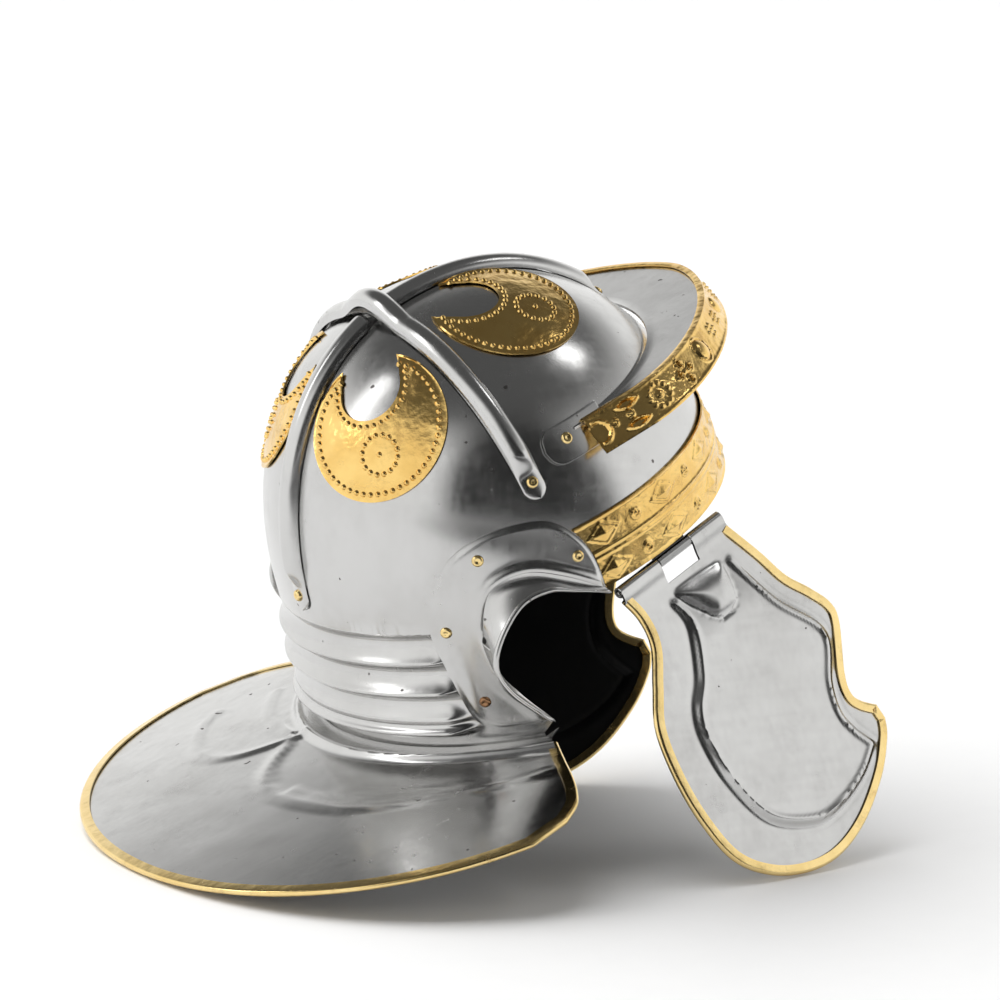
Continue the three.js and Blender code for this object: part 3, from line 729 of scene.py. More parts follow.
def neck_places():
    """Where the fold runs: just inside the rim, half way through the plate."""
    found = []
    seats = [plain_tree.ray_cast(Vector((x, y, 20)), Vector((0, 0, -1)))[:2]
             for x, y in drawn_in(neck_rim, TRIM_REACH)]
    for i, (seat, _) in enumerate(seats):
        before, after = seats[max(i - 1, 0)][0], seats[min(i + 1, len(seats) - 1)][0]
        run = (after - before).normalized()
        near = seats[max(i - 3, 0):i + 4]
        up = sum((n for _, n in near), Vector()).normalized()
        up = up if up.z > 0 else -up
        out = run.cross(up).normalized()
        if out.dot(Vector((seat.x + 120, seat.y, 0))) < 0:
            out = -out
        found.append((seat - up * (SHEET / 2), out, up))
    return found


places = neck_places()
trim = sweep(trim_rings(places, channel(TRIM_REACH - 0.05, 4.2, 1.6, 0.75)))
piece("neck_trim_fold", trim, [BRASS_ROLLED], "helmet", ["neck_trim"])

# %% [markdown]
# ## Crossed ribs
#
# Three half-round bars brace the crown. Each is bent from a strip, hollow
# below, and its ends are beaten flat and riveted. The transverse one arches
# over the other two where they cross. The section changes along the bar, from
# half-round to a flat round-ended tab, so each ring is drawn with its own
# width and height.

# %% Ribs
RIB = {"radius": 5.8, "plane": -20.0, "arch": 6.8, "half": 25.0, "hub": 30.0}


def rib_section(width, height, wall=1.1):
    ways = [math.pi * i / 16 for i in range(17)]
    outer = [(width * math.cos(a), height * math.sin(a)) for a in ways]
    low = max(height - wall, 0.0)
    inner = [((width - wall) * math.cos(a), low * math.sin(a)) for a in ways[1:-1:2]]
    return outer + inner[::-1]


HUB = Vector((RIB["plane"], 0, RIB["hub"]))


def rib_bar(direction, start, end, steps, arched=False, tab_start=0.0, tab_end=0.0):
    """Angles run from the hub; a tab is a flat round end of the given length."""
    across = direction.cross(Vector((0, 0, 1))).normalized()
    spots = []
    for i in range(steps + 1):
        angle = math.radians(start + (end - start) * i / steps)
        way = direction * math.cos(angle) + Vector((0, 0, math.sin(angle)))
        spot = on_skull(HUB, way, GAP)
        near = max(1 - abs(spot.y) / RIB["half"], 0) if arched else 0
        spots.append(spot + way * RIB["arch"] * math.sin(near * math.pi / 2) ** 2)
    lengths = [0.0]
    for a, b in zip(spots, spots[1:]):
        lengths.append(lengths[-1] + (b - a).length)
    rings = []
    for i, spot in enumerate(spots):
        run = (spots[min(i + 1, steps)] - spots[max(i - 1, 0)]).normalized()
        up = across.cross(run).normalized()
        if up.dot(spot - HUB) < 0:
            up = -up
        width, height = RIB["radius"], RIB["radius"]
        for reach, tab in ((lengths[i], tab_start), (lengths[-1] - lengths[i], tab_end)):
            if tab:
                flat = ease(reach, tab * 0.75, tab + 9.0)
                height = min(height, 1.5 + (RIB["radius"] - 1.5) * flat)
                inset = max(RIB["radius"] - reach, 0)
                width = min(width, math.sqrt(max(RIB["radius"] ** 2 - inset ** 2, 0.04)))
            else:
                height = min(height, 3.4 + 2.4 * ease(reach, 0, 5))
        rings.append([spot + across * a + up * b for a, b in rib_section(width, height)])
    return sweep(rings)


def bar_angle(direction, z):
    """The angle at the hub where the bar has come down to a height."""
    low, high = -60.0, 90.0
    for _ in range(30):
        half = math.radians((low + high) / 2)
        way = direction * math.cos(half) + Vector((0, 0, math.sin(half)))
        if on_skull(HUB, way).z < z:
            low = (low + high) / 2
        else:
            high = (low + high) / 2
    return low


ASIDE, AHEAD = Vector((0, 1, 0)), Vector((1, 0, 0))
low_side = bar_angle(ASIDE, 49.0)
low_rear = bar_angle(-AHEAD, 14.5)
low_front = bar_angle(AHEAD, 74.5)
ribs = {
    "across": ("rib_transverse", rib_bar(ASIDE, 180 - low_side, low_side, 420, True, 13.0, 13.0)),
    "back": ("rib_rear", rib_bar(AHEAD, 92.0, 180 - low_rear, 260, tab_end=13.0)),
    "ahead": ("rib_front", rib_bar(AHEAD, low_front, 88.0, 220, tab_start=12.0)),
}
for name, (node, bar) in ribs.items():
    piece(f"rib_{name}", bar, [STEEL], "helmet", [node])

# %% [markdown]
# ## Beads and rivets
#
# A pressed bead is a small dome with a soft foot. It is spun once from a
# profile, and copies of it are set wherever a row of beads runs. Rivets are
# the same thing, larger, with a dimple that the hammer left.

# %% Spun shapes
def spun(profile, steps):
    """A profile of radius and height, spun about the upright axis."""
    bm = bmesh.new()
    verts = [bm.verts.new((r, 0, h)) for r, h in profile]
    edges = [bm.edges.new(pair) for pair in zip(verts, verts[1:])]
    bmesh.ops.spin(
        bm, geom=verts + edges, cent=(0, 0, 0), axis=(0, 0, 1), angle=2 * math.pi,
        steps=steps, use_merge=True,
    )
    bmesh.ops.remove_doubles(bm, verts=bm.verts[:], dist=1e-4)
    bmesh.ops.recalc_face_normals(bm, faces=bm.faces[:])
    return bm


def set_at(shape, spots):
    """Copies of a shape at several places; up is along each normal."""
    parts = []
    for at, normal, size in spots:
        copy = shape.copy()
        turn_up = Vector((0, 0, 1)).rotation_difference(normal).to_matrix().to_4x4()
        copy.transform(Matrix.Translation(at) @ turn_up @ Matrix.Scale(size, 4))
        parts.append(copy)
    return join(parts)


BEAD = spun([(1.75, -0.3), (1.4, 0.1), (1.1, 0.7), (0.6, 1.15), (0, 1.3)], 10)
RIVET = spun([
    (2.1, -4.4), (2.1, -3.6), (1.2, -3.5), (1.2, -0.4), (2.75, -0.3), (2.75, 0.25), (2.5, 0.85),
    (2.0, 1.35), (1.45, 1.5), (0.85, 1.28), (0.4, 1.12), (0, 1.08),
], 20)

# %% [markdown]
# ## Crescents
#
# A crescent is cut from brass foil and pressed from behind: a row of beads
# follows each edge, and a ring of beads with one in its middle sits on the
# widest part. It lies on the skull, so each of its points starts inside and is
# carried outwards along one direction until it meets the steel.

# %% Crescents
CRESCENT = {"radius": 33.5, "notch": 15.0, "shift": 18.0, "tip": math.radians(64)}
LEG = 0.18
BEAD_RING = {"radius": 8.8, "below": 13.4}


def crescent_at(share, depth):
    """share runs from horn to horn, depth from the outer edge to the notch."""
    big, small, shift = CRESCENT["radius"], CRESCENT["notch"], CRESCENT["shift"]
    a = CRESCENT["tip"] - share * (math.pi + 2 * CRESCENT["tip"])
    outer = (big * math.cos(a), big * math.sin(a))
    tip = (big * math.cos(CRESCENT["tip"]), big * math.sin(CRESCENT["tip"]))
    if LEG <= share <= 1 - LEG:
        b = -math.pi * (share - LEG) / (1 - 2 * LEG)
        inner = (small * math.cos(b), shift + small * math.sin(b))
    else:
        way = min(share, 1 - share) / LEG
        side = 1 if share < 0.5 else -1
        inner = (side * (tip[0] + (small - tip[0]) * way), tip[1] + (shift - tip[1]) * way)
    return tuple(o + (i - o) * depth for o, i in zip(outer, inner))


def crescent_seat(centre):
    direction = Vector(centre).normalized()
    point = on_skull(Vector((0, 0, 0)), direction)
    hit, normal, _, _ = plain_tree.ray_cast(Vector((0, 0, 0)), direction)
    normal = normal if normal.dot(direction) > 0 else -normal
    up = Vector((RIB["plane"], 0, SKULL["height"])) - point
    up = (up - normal * up.dot(normal)).normalized()
    return point, normal, up, up.cross(normal).normalized()


def on_circle(radius, angle, up):
    return radius * math.cos(angle), up + radius * math.sin(angle)


def bead_spots():
    """A row inside the outer edge, one round the notch, and a ring with its middle."""
    edge = [crescent_at(0.012 + 0.976 * i / 43, 0) for i in range(44)]
    spots = [(a * 0.9, b * 0.9) for a, b in edge]
    spots += [on_circle(CRESCENT["notch"] + 2.8, math.radians(12 - 204 * i / 18), CRESCENT["shift"])
              for i in range(19)]
    spots += [on_circle(BEAD_RING["radius"], 2 * math.pi * i / 16, -BEAD_RING["below"])
              for i in range(16)]
    return spots + [(0, -BEAD_RING["below"])]


def crescent(centre):
    point, normal, up, right = crescent_seat(centre)

    def lift(a, b, out):
        start = point + right * a + up * b - normal * 60
        return on_skull(start, normal, GAP + out)

    def face(u, v):
        a, b = crescent_at(u, v)
        edge = min(v, 1 - v) * 18
        rim = 0.35 * math.exp(-(edge / 0.8) ** 2)
        return lift(a, b, FOIL + 0.02 + rim)

    plate = thicken(face_towards(sheet(110, 16, face), point, normal), FOIL)
    seats = []
    for a, b in bead_spots():
        at = lift(a, b, FOIL)
        upright = (lift(a + 1, b, FOIL) - at).cross(lift(a, b + 1, FOIL) - at).normalized()
        seats.append((at, upright if upright.dot(normal) > 0 else -upright, 0.92))
    return join([plate, set_at(BEAD, seats)])


for name, centre in (
    ("rear", (-0.551 * 102.0, -0.38 * 102.5, 0.722 * 125.0)),
    ("front", (0.2 * 112.5, -0.363 * 102.5, 0.888 * 125.0)),
):
    moon = crescent(centre)
    for side, foil in {"right": moon, "left": mirrored(moon)}.items():
        piece(f"moon_{name}_{side}", foil, [BRASS], "helmet", [f"crescent_{name}_{side}"])

# %% [markdown]
# ## Brow band
#
# The band is pressed with two rows of lozenges and studs, with a double bead
# between the rows. All of it is relief, so the band is one fine grid, and a
# single function gives the height of the pattern at each spot.

# %% Pattern of the band
BAND = {"height": 30.8, "reach": 105.0}


def lozenge(along, up, length, height, tall):
    """A four-sided pyramid with a crisp foot and a sunken line round it."""
    reach = abs(along) / length + abs(up) / height
    return tall * max(1 - reach, 0) + 0.55 * math.exp(-((reach - 1.0) / 0.1) ** 2)


def stud(along, up, radius):
    """A ring with a small point in its middle."""
    away = math.hypot(along, up)
    ring = 0.75 * math.exp(-((away - radius) / 0.55) ** 2)
    return ring + 1.15 * math.exp(-(away / 0.85) ** 2)


def band_relief(degrees, z):
    """Height of the pattern at an angle round the skull and above the rim."""
    height = 0.75 * math.exp(-((z - 16.3) / 0.75) ** 2) + 0.4 * math.exp(-((z - 13.8) / 0.7) ** 2)
    height += 0.8 * math.exp(-((z - BAND["height"]) / 0.9) ** 2) + 0.6 * math.exp(-(z / 0.9) ** 2)
    scale = math.radians(1) * BAND["reach"]
    for row in (6.4, 23.3):
        at = (degrees + 10) % 20
        along = (at if at < 10 else at - 20) * scale
        height += lozenge(along, z - row, 8.2, 5.0, 1.7)
        at = degrees % 20
        along = (at if at < 10 else at - 20) * scale
        height += stud(along, z - row, 2.0)
    return height


# %% [markdown]
# ## Bending the band
#
# The real band is pressed flat and then bent round the brow. Here the grid is
# laid round the skull at once, and the relief is added to its distance from
# the steel. Its ends stop short of the ear guards.

# %% Build the band
def ear_front(z):
    """How far forward the ear guard's edge comes at a height."""
    return max((x for x, y in ear_edge if abs(y - z) < 2.5), default=-12.0)


def band_point(u, v):
    z = 0.15 + (BAND["height"] - 0.3) * v
    end = math.degrees(math.acos(min(max((ear_front(z) + 0.45) / SKULL["rear"], -1), 1)))
    degrees = end * (2 * u - 1)
    relief = band_relief(degrees, z)
    return skull_point(math.radians(degrees), z, GAP + FOIL + max(relief, -0.3))


band = sheet(620, 54, band_point)
thicken(band, 0.7)
piece("band_pressed", band, [BRASS], "helmet", ["brow_band"])

# %% [markdown]
# ## Peak
#
# A flat crescent of steel stands out over the brow. Its inner edge follows the
# skull, and a tab at each side is bent down and riveted.

# %% Peak plate
PEAK = {"level": 0.545 * 125.0, "slope": 0.032, "centre": 41.0, "ahead": 94.1, "side": 90.6,
        "round": 1.7, "start": 9.0}
TAB = {"start": -9.0, "end": 22.0, "half": 8.0, "level": 0.524 * 125.0}


def peak_edge(steps):
    points = [(PEAK["start"] + (PEAK["centre"] - PEAK["start"]) * i / 8, -PEAK["side"])
              for i in range(8)]
    for i in range(steps + 1):
        a = math.pi * (i / steps - 0.5)
        points.append((
            PEAK["centre"] + PEAK["ahead"] * power(math.cos(a), 2 / PEAK["round"]),
            PEAK["side"] * power(math.sin(a), 2 / PEAK["round"]),
        ))
    return points + [(x, -y) for x, y in reversed(points[:8])]


edge_line = peak_edge(140)


def peak_z(x):
    return PEAK["level"] + PEAK["slope"] * x


def peak_point(u, v):
    x, y = edge_line[round(u * (len(edge_line) - 1))]
    scale = skull_scale(PEAK["level"] + 0.4)
    inner = 1 / math.hypot(x / (SKULL["front"] * scale + 0.5), y / (SKULL["side"] * scale + 0.5))
    share = min(inner, 0.995) + (1 - min(inner, 0.995)) * v
    at = Vector((x * share, y * share, 0))
    fillet = 1.1 * math.exp(-((1 - inner) * v * math.hypot(x, y) / 1.5) ** 2)
    return Vector((at.x, at.y, peak_z(at.x) + SHEET / 2 + fillet * 0.6))


plate = face_towards(sheet(len(edge_line) - 1, 14, peak_point), (120, 0, 70), (0, 0, 1))
thicken(plate, SHEET)


def tab_point(side):
    def place(u, v):
        along = TAB["start"] + (TAB["end"] + 4 - TAB["start"]) * u
        inset = max(TAB["half"] - (along - TAB["start"]), 0)
        wide = math.sqrt(max(TAB["half"] ** 2 - inset ** 2, 0.04))
        z = TAB["level"] + wide * (2 * v - 1)
        rear = SKULL["rear"] if along < 0 else SKULL["front"]
        scale = skull_scale(z)
        y = (SKULL["side"] * scale + GAP + SHEET + 0.75)
        y *= math.sqrt(1 - (along / (rear * scale + GAP + SHEET)) ** 2)
        return Vector((along, side * y, z))
    return place


tabs = []
for side in (-1, 1):
    tab = face_towards(sheet(34, 16, tab_point(side)), (6, side * 95, 65), (0, side, 0))
    tabs.append(thicken(tab, SHEET, 0.25))
piece("peak_plate", join([plate, *tabs]), [STEEL], "helmet", ["peak"])

# %% [markdown]
# ## Strip on the peak
#
# The strip is folded over the peak's edge and flares out below it. Its pattern
# is the richest on the helmet: a disc in a crescent, ringed studs, pairs of
# leaf shapes, a ring of beads, a cross of leaves, a boss, and clusters of
# beads. The places are lengths along the edge from the strip's rear end.

# %% Pattern of the strip
STRIP = {"start": 14.0, "lip": 2.5, "drop": 14.2, "side": 11.0, "front": 5.7}


def leaf(along, up, length, width, tall=1.3):
    """An almond-shaped rim round a hollow."""
    share = min(abs(along) / length, 1)
    half = width * (1 - share ** 2)
    away = abs(up) - half if abs(along) < length else math.hypot(abs(along) - length, up)
    rim = tall * math.exp(-(away / 0.6) ** 2)
    hollow = -0.9 if away < -0.8 else 0.0
    return rim + hollow


def dot(along, up, radius=1.0, tall=1.0):
    return tall * math.exp(-((along ** 2 + up ** 2) / radius ** 2))


def dot_ring(along, up, count, radius, size, tall):
    ways = [2 * math.pi * k / count for k in range(count)]
    return sum(dot(along - radius * math.cos(a), up - radius * math.sin(a), size, tall)
               for a in ways)


def boss_shape(along, up, length, width, tall):
    """A domed oval, and how far out a spot lies in shares of its rim."""
    away = math.hypot(along / length, up / width)
    return tall * math.sqrt(max(1 - away ** 2, 0)), away


def strip_relief(s, down):
    """down runs over the slanted face, 0 at the fold."""
    mid = 8.2
    up = mid - down
    height = 0.5 * math.exp(-((down - 17.0) / 0.9) ** 2)
    if s < 12:
        away = math.hypot(s - 3.0, up)
        height += 0.9 * math.exp(-((away - 5.6) / 0.7) ** 2) * (s > 1.5)
        height += -0.5 * (away < 4.6)
    height += stud(s - 11.5, up - 0.3, 1.6)
    height += stud(s - 20.5, up, 1.6)
    for side in (1, -1):
        height += leaf(s - 21.5, up - side * 5.2, 6.0, 1.9)
    height += dot_ring(s - 37.5, up, 12, 5.6, 0.9, 0.95) + stud(s - 37.5, up, 1.2)
    for side in (1, -1):
        height += leaf(s - 57, up - side * 4.6, 1.8, 2.2, 1.0)
        height += leaf(up, s - 57 - side * 4.2, 1.9, 1.9, 1.0)
    height += dot(s - 57, up, 1.1, 1.2)
    dome, away = boss_shape(s - 76, up, 4.6, 5.6, 1.9)
    height += dome + 0.5 * math.exp(-((away - 1.22) / 0.09) ** 2)
    for place in (95, 108):
        height += dot_ring(s - place, up, 6, 3.1, 0.95, 0.95) + dot(s - place, up, 0.95, 0.95)
    height += boss_shape(s - 122, up, 4.4, 5.2, 1.5)[0]
    return height + dot_ring(s - 139, up, 12, 5.2, 0.9, 0.9) + dot(s - 139, up, 1.2, 1.0)


# %% [markdown]
# ## Folding the strip
#
# The strip follows the edge of the peak in equal steps, so that the pattern
# isn't stretched. Across, it has a narrow lip on the plate, a soft fold, and
# the slanted face, which stands steeper at the front than at the sides.

# %% Build the strip
def spaced(line, least):
    """The same line without the points that crowd the one before."""
    return [p for i, p in enumerate(line) if not i or math.dist(p, line[i - 1]) > least]


def even(line, steps):
    """The same line, cut into equal lengths."""
    lengths = [0.0]
    for a, b in zip(line, line[1:]):
        lengths.append(lengths[-1] + math.dist(a, b))
    found, k = [], 0
    for i in range(steps + 1):
        goal = lengths[-1] * i / steps
        while k < len(line) - 2 and lengths[k + 1] < goal:
            k += 1
        share = (goal - lengths[k]) / (lengths[k + 1] - lengths[k])
        found.append(tuple(p + (q - p) * share for p, q in zip(line[k], line[k + 1])))
    return found, lengths[-1]


STEPS = 560
fold_line = [(max(x, STRIP["start"]), y) for x, y in peak_edge(700) if x >= STRIP["start"] - 4]
strip_line, strip_length = even(spaced(fold_line, 0.02), STEPS)
slant = math.hypot(STRIP["side"], STRIP["drop"])


def strip_point(u, v):
    i = round(u * STEPS)
    x, y = strip_line[i]
    a, b = strip_line[max(i - 3, 0)], strip_line[min(i + 3, STEPS)]
    run = math.dist(a, b)
    nx, ny = (b[1] - a[1]) / run, -(b[0] - a[0]) / run
    s = min(u, 1 - u) * strip_length
    ahead = min(max((x - PEAK["centre"]) / PEAK["ahead"], 0), 1)
    flare = STRIP["side"] + (STRIP["front"] - STRIP["side"]) * ahead
    length = math.hypot(flare, STRIP["drop"])
    fold = 0.14
    if v < fold:
        t = v / fold
        reach, drop, relief = -STRIP["lip"] * (1 - t), 0.0, 0.15 * math.sin(t * math.pi)
        lift = FOIL * 0.95 + relief
        out = FOIL * t ** 4
    else:
        t = (v - fold) / (1 - fold)
        reach, drop = flare * t, STRIP["drop"] * t
        relief = max(strip_relief(s, t * slant), -0.7)
        relief *= ease(t, 0.0, 0.08)
        out = (FOIL + relief) * STRIP["drop"] / length
        lift = (FOIL + relief) * flare / length
        bend = 1 - ease(t, 0, 0.1)
        lift += bend * (FOIL * 0.95 - FOIL * flare / length)
        out += bend * (FOIL - FOIL * STRIP["drop"] / length)
    reach += GAP + out
    z = peak_z(x) + SHEET / 2 + GAP - drop + lift
    return Vector((x + nx * reach, y + ny * reach, z))


strip = face_towards(sheet(STEPS, 58, strip_point), (400, 0, 60), (1, 0, 0))
thicken(strip, 0.7)
piece("strip_pressed", strip, [BRASS], "helmet", ["peak_strip"])
print("strip length", round(strip_length, 1))

# %% [markdown]
# ## Ear guards
#
# Each ear guard is one piece of steel: a crescent that lies on the skull, and
# a lip that turns outwards round the ear. The plate is dished up to a crease
# just before the bend. One grid covers both, from the outer edge across the
# crease to the lip's free edge.

# %% Ear guard
def wall_point(x, z, out):
    """A point on the plain right wall of the skull and nape, seen from the side."""
    reach = SKULL["rear"] if x < 0 else SKULL["front"]
    scale = skull_scale(z)
    swell = 0.0
    for _ in range(4):
        half = SKULL["side"] * scale + swell
        share = min(abs(x) / (reach * scale + swell), 0.999)
        y = half * math.sqrt(1 - share ** 2)
        azimuth = abs(math.degrees(math.atan2(y, x)))
        depth = (-z - NAPE["rise"] * x) / NAPE["depth"]
        fade = ease(azimuth, NAPE["plain_to"], NAPE["ridged_from"])
        swell = 0.125 * NAPE["depth"] * ease(depth, 0.08, 0.55) * fade
    y = (half + out) * math.sqrt(1 - min(abs(x) / (reach * scale + swell + out), 0.999) ** 2)
    return Vector((x, -y, z))


ear_lip = smooth([(EAR["front"] + a * 72, -s * 72, u * 72) for a, u, s in EAR_LIP], 72)


def ear_point(u, v):
    i = round(u * 72)
    (ax, az), (ex, ez) = ear_arch[i], ear_edge[i]
    lip = Vector(ear_lip[i])
    crease = wall_point(ax, az, GAP + SHEET + 0.6)
    split = 0.62
    if v <= split:
        t = v / split
        x, z = ex + (ax - ex) * t, ez + (az - ez) * t
        wide = math.hypot(ax - ex, az - ez)
        lift = 0.6 + 1.3 * math.exp(-(((1 - t) * wide - 1.6) / 2.6) ** 2) * min(wide / 8, 1)
        lift *= ease(t * wide, 0, 2.5)
        return wall_point(x, z, GAP + SHEET + lift)
    t = (v - split) / (1 - split)
    away = (lip - crease).length
    at = crease.lerp(lip, t)
    dish = 0.09 * away * math.sin(t * math.pi)
    at.y += dish
    at.z += 0.35 * dish
    return at


ear = sheet(72, 44, ear_point)
bmesh.ops.remove_doubles(ear, verts=ear.verts[:], dist=0.12)
bmesh.ops.dissolve_degenerate(ear, dist=0.05, edges=ear.edges[:])
thicken(face_towards(ear, (-52, -85, 32), (0, -1, 0)), SHEET)


def lip_roll():
    rings = []
    for i in range(73):
        at = Vector(ear_lip[i])
        run = (Vector(ear_lip[min(i + 1, 72)]) - Vector(ear_lip[max(i - 1, 0)])).normalized()
        out = run.cross(Vector((0, 1, 0))).normalized()
        aside = run.cross(out)
        thick = 0.35 + 0.95 * min(ease(i, 0, 22), 1 - ease(i, 58, 72) * 0.75)
        ways = [2 * math.pi * k / 12 for k in range(12)]
        rings.append([at + (out * math.cos(a) + aside * math.sin(a)) * thick for a in ways])
    return sweep(rings)


ear = join([ear, lip_roll()])
for name, shell in {"right": ear, "left": mirrored(ear)}.items():
    piece(f"ear_shell_{name}", shell, [STEEL], "helmet", [f"ear_guard_{name}"])

# %% [markdown]
# ## Rivets in their places
#
# Fourteen rivets with brass heads. A ray from inside finds each seat on the
# skull, and the head stands on the plates above it.

# %% Set the rivets
def seat_aside(x, z, side):
    hit, normal, _, _ = plain_tree.ray_cast(Vector((x, 0, z)), Vector((0, side, 0)))
    return hit, normal if normal.y * side > 0 else -normal


def seat_along(z, way):
    hit, normal, _, _ = plain_tree.ray_cast(Vector((0, 0.01, z)), Vector((way, 0, 0)))
    return hit, normal if normal.x * way > 0 else -normal


EAR_RIVETS = [ear_place(p) for p in ((-0.1, 0.27), (-0.63, 0.465), (-0.9, 0.07), (-0.835, -0.44))]
rivet_seats = {
    "rivet_rib_rear": seat_along(22.0, -1),
    "rivet_rib_front": seat_along(81.0, 1),
}
for side, name in ((-1, "right"), (1, "left")):
    rivet_seats[f"rivet_rib_{name}"] = seat_aside(RIB["plane"], 56.6, side)
    rivet_seats[f"rivet_peak_{name}"] = seat_aside(3.4, 66.0, side)
    for i, spot in enumerate(EAR_RIVETS):
        rivet_seats[f"rivet_ear_{name}_{i + 1}"] = seat_aside(*spot, side)

for name, (at, normal) in rivet_seats.items():
    head = set_at(RIVET, [(at + normal * (GAP + SHEET + 0.3), normal, 1.0)])
    finish = BRASS_BROWN if name == "rivet_ear_right_4" else BRASS_ROLLED
    piece(f"{name}_head", head, [finish], "helmet", [name], sharp=60)

# %% [markdown]
# ## Cheek guards
#
# A cheek guard is drawn flat, along its hinge and down from it, then embossed:
# a panel that follows the outline is raised with a soft wall, and a boss
# stands near its top. The grid is cut to the outline as the skull was.

# %% Lines of the cheek guard
CHEEK = 156.4
CHEEK_BACK = [
    (0, 0.03), (0.018, 0.1), (0.005, 0.18), (-0.06, 0.27), (-0.13, 0.37), (-0.162, 0.5),
    (-0.168, 0.65), (-0.138, 0.806), (-0.05, 0.912), (0.071, 0.978), (0.2, 1), (0.34, 0.972),
    (0.48, 0.9), (0.569, 0.8235), (0.6, 0.773),
]
CHEEK_WAIST = [(0.597, 0.726), (0.555, 0.687), (0.538, 0.65), (0.558, 0.59), (0.637, 0.466)]
CHEEK_FRONT = [(0.646, 0.403), (0.609, 0.3325), (0.554, 0.2526), (0.517, 0.1535), (0.462, 0.03)]
PANEL_BACK = [
    (0.15, 0.115), (0.163, 0.2), (0.095, 0.33), (0.0275, 0.4), (-0.005, 0.48), (-0.006, 0.62),
    (0.047, 0.78), (0.179, 0.872), (0.287, 0.884), (0.411, 0.858), (0.508, 0.807),
]
PANEL_FRONT = [
    (0.478, 0.75), (0.46, 0.678), (0.485, 0.59), (0.565, 0.455), (0.469, 0.291), (0.407, 0.115),
]
KNUCKLES = [(0.72, 27.2), (49.5, 71.3)]


def on_cheek(points, steps):
    return [(a * CHEEK, -d * CHEEK) for a, d in smooth(points, steps)]


CHEEK_AHEAD = CHEEK_WAIST + CHEEK_FRONT
cheek_rim = on_cheek(CHEEK_BACK, 90) + on_cheek(CHEEK_AHEAD, 70)
cheek_edge = drawn_in(cheek_rim, TRIM_REACH)
cheek_edge += [(71.3, -4.2), (71.3, 0.0), (0.72, 0.0), (0.72, -4.2)]
panel_line = on_cheek(PANEL_BACK, 60) + on_cheek(PANEL_FRONT, 36)
boss_line = smooth([
    (26.5, -17.5), (29, -14.5), (42, -14.6), (56, -15.8), (59, -19), (57.5, -30), (54, -36),
    (46, -37.8), (39, -36), (32.5, -27), (26.5, -17.5),
], 60)
slot_line = [(27.2, -10.2), (49.5, -10.2), (49.5, 12.0), (27.2, 12.0)]


# %% [markdown]
# ## Embossing the cheek guard
#
# One function gives the relief: the panel's wall with a bead along it, the
# boss, and the rise towards the knuckles. Distances to the drawn lines shape
# all of them, so the walls are soft and equally wide everywhere.

# %% Embossed sheet
def cheek_relief(a, z):
    away = nearest(panel_line, a, z, closed=False)[0]
    away = away if inside(panel_line, a, z) else -away
    raised = ease(-z, 16, 42)
    height = 1.9 * ease(away, -1.4, 2.2) * raised
    height += 1.1 * math.exp(-((away - 0.6) / 1.7) ** 2) * ease(-z, 15.5, 19)
    height -= 0.2 * math.exp(-((away + 3.4) / 1.2) ** 2) * raised
    depth = nearest(boss_line, a, z)[0]
    if inside(boss_line, a, z):
        height += 3.1 * math.sin(min(depth / 10, 1) * math.pi / 2) ** 0.8
        height -= 0.8 * raised
    return height + 1.9 * (1 - ease(-z, 0.5, 9.5))


def cheek_point(u, v):
    a, z = -28.0 + 131.0 * u, -157.0 + 157.0 * v
    return Vector((a, -SHEET / 2 - cheek_relief(a, z), z))


def cut_cheek(bm):
    doomed = []
    for face in bm.faces:
        c = face.calc_center_median()
        if not inside(cheek_edge, c.x, c.z) or inside(slot_line, c.x, c.z):
            doomed.append(face)
    bmesh.ops.delete(bm, geom=doomed, context="FACES")
    for vert in [v for v in bm.verts if v.is_boundary]:
        spots = [nearest(line, vert.co.x, vert.co.z) for line in (cheek_edge, slot_line)]
        away, x, z = min(spots)
        if away < 2.5:
            vert.co.x, vert.co.z = x, z
    bmesh.ops.dissolve_degenerate(bm, dist=0.02, edges=bm.edges[:])
    return bm


guard = face_towards(cut_cheek(sheet(112, 134, cheek_point)), (35, 0, -80), (0, -1, 0))
thicken(guard, SHEET, lining=1)
print("cheek sheet", len(guard.faces), "faces")

# %% [markdown]
# ## Knuckles, pin and leaf
#
# The top of the sheet is rolled into two knuckles, each a ring that is open
# along one line, swept a short way. Between them sits the knuckle of a leaf
# that is fixed inside the skull, and a steel pin runs through all three.

# %% Rolled knuckles
def roll(start, end, outer=2.6, inner=1.45, turns=0.96):
    """A rolled tube along the hinge, open along one line where it curls in."""
    count = 30
    ways = [math.pi * 2 * turns * i / count for i in range(count + 1)]
    ring = [(outer * math.cos(a), outer * math.sin(a)) for a in ways]
    ring += [(inner * math.cos(a), inner * math.sin(a)) for a in reversed(ways)]
    rings = []
    for x, less in ((start, 0.25), (start + 0.25, 0), (end - 0.25, 0), (end, 0.25)):
        size = 1 - less / outer
        rings.append([Vector((x, y * size, z * size)) for y, z in ring])
    bm = sweep(rings)
    opening = Matrix.Rotation(math.radians(-60), 3, "X")
    bmesh.ops.rotate(bm, cent=(0, 0, 0), matrix=opening, verts=bm.verts[:])
    return bm


guard_whole = join([guard, *(roll(*ends) for ends in KNUCKLES)])


def hinge_place(side, splay):
    spot = Matrix.Translation((HINGE["x"], side * HINGE["y"], HINGE["z"]))
    yaw = Matrix.Rotation(-side * HINGE["yaw"], 4, "Z")
    return LEVEL @ spot @ yaw @ Matrix.Rotation(math.radians(splay), 4, "X")


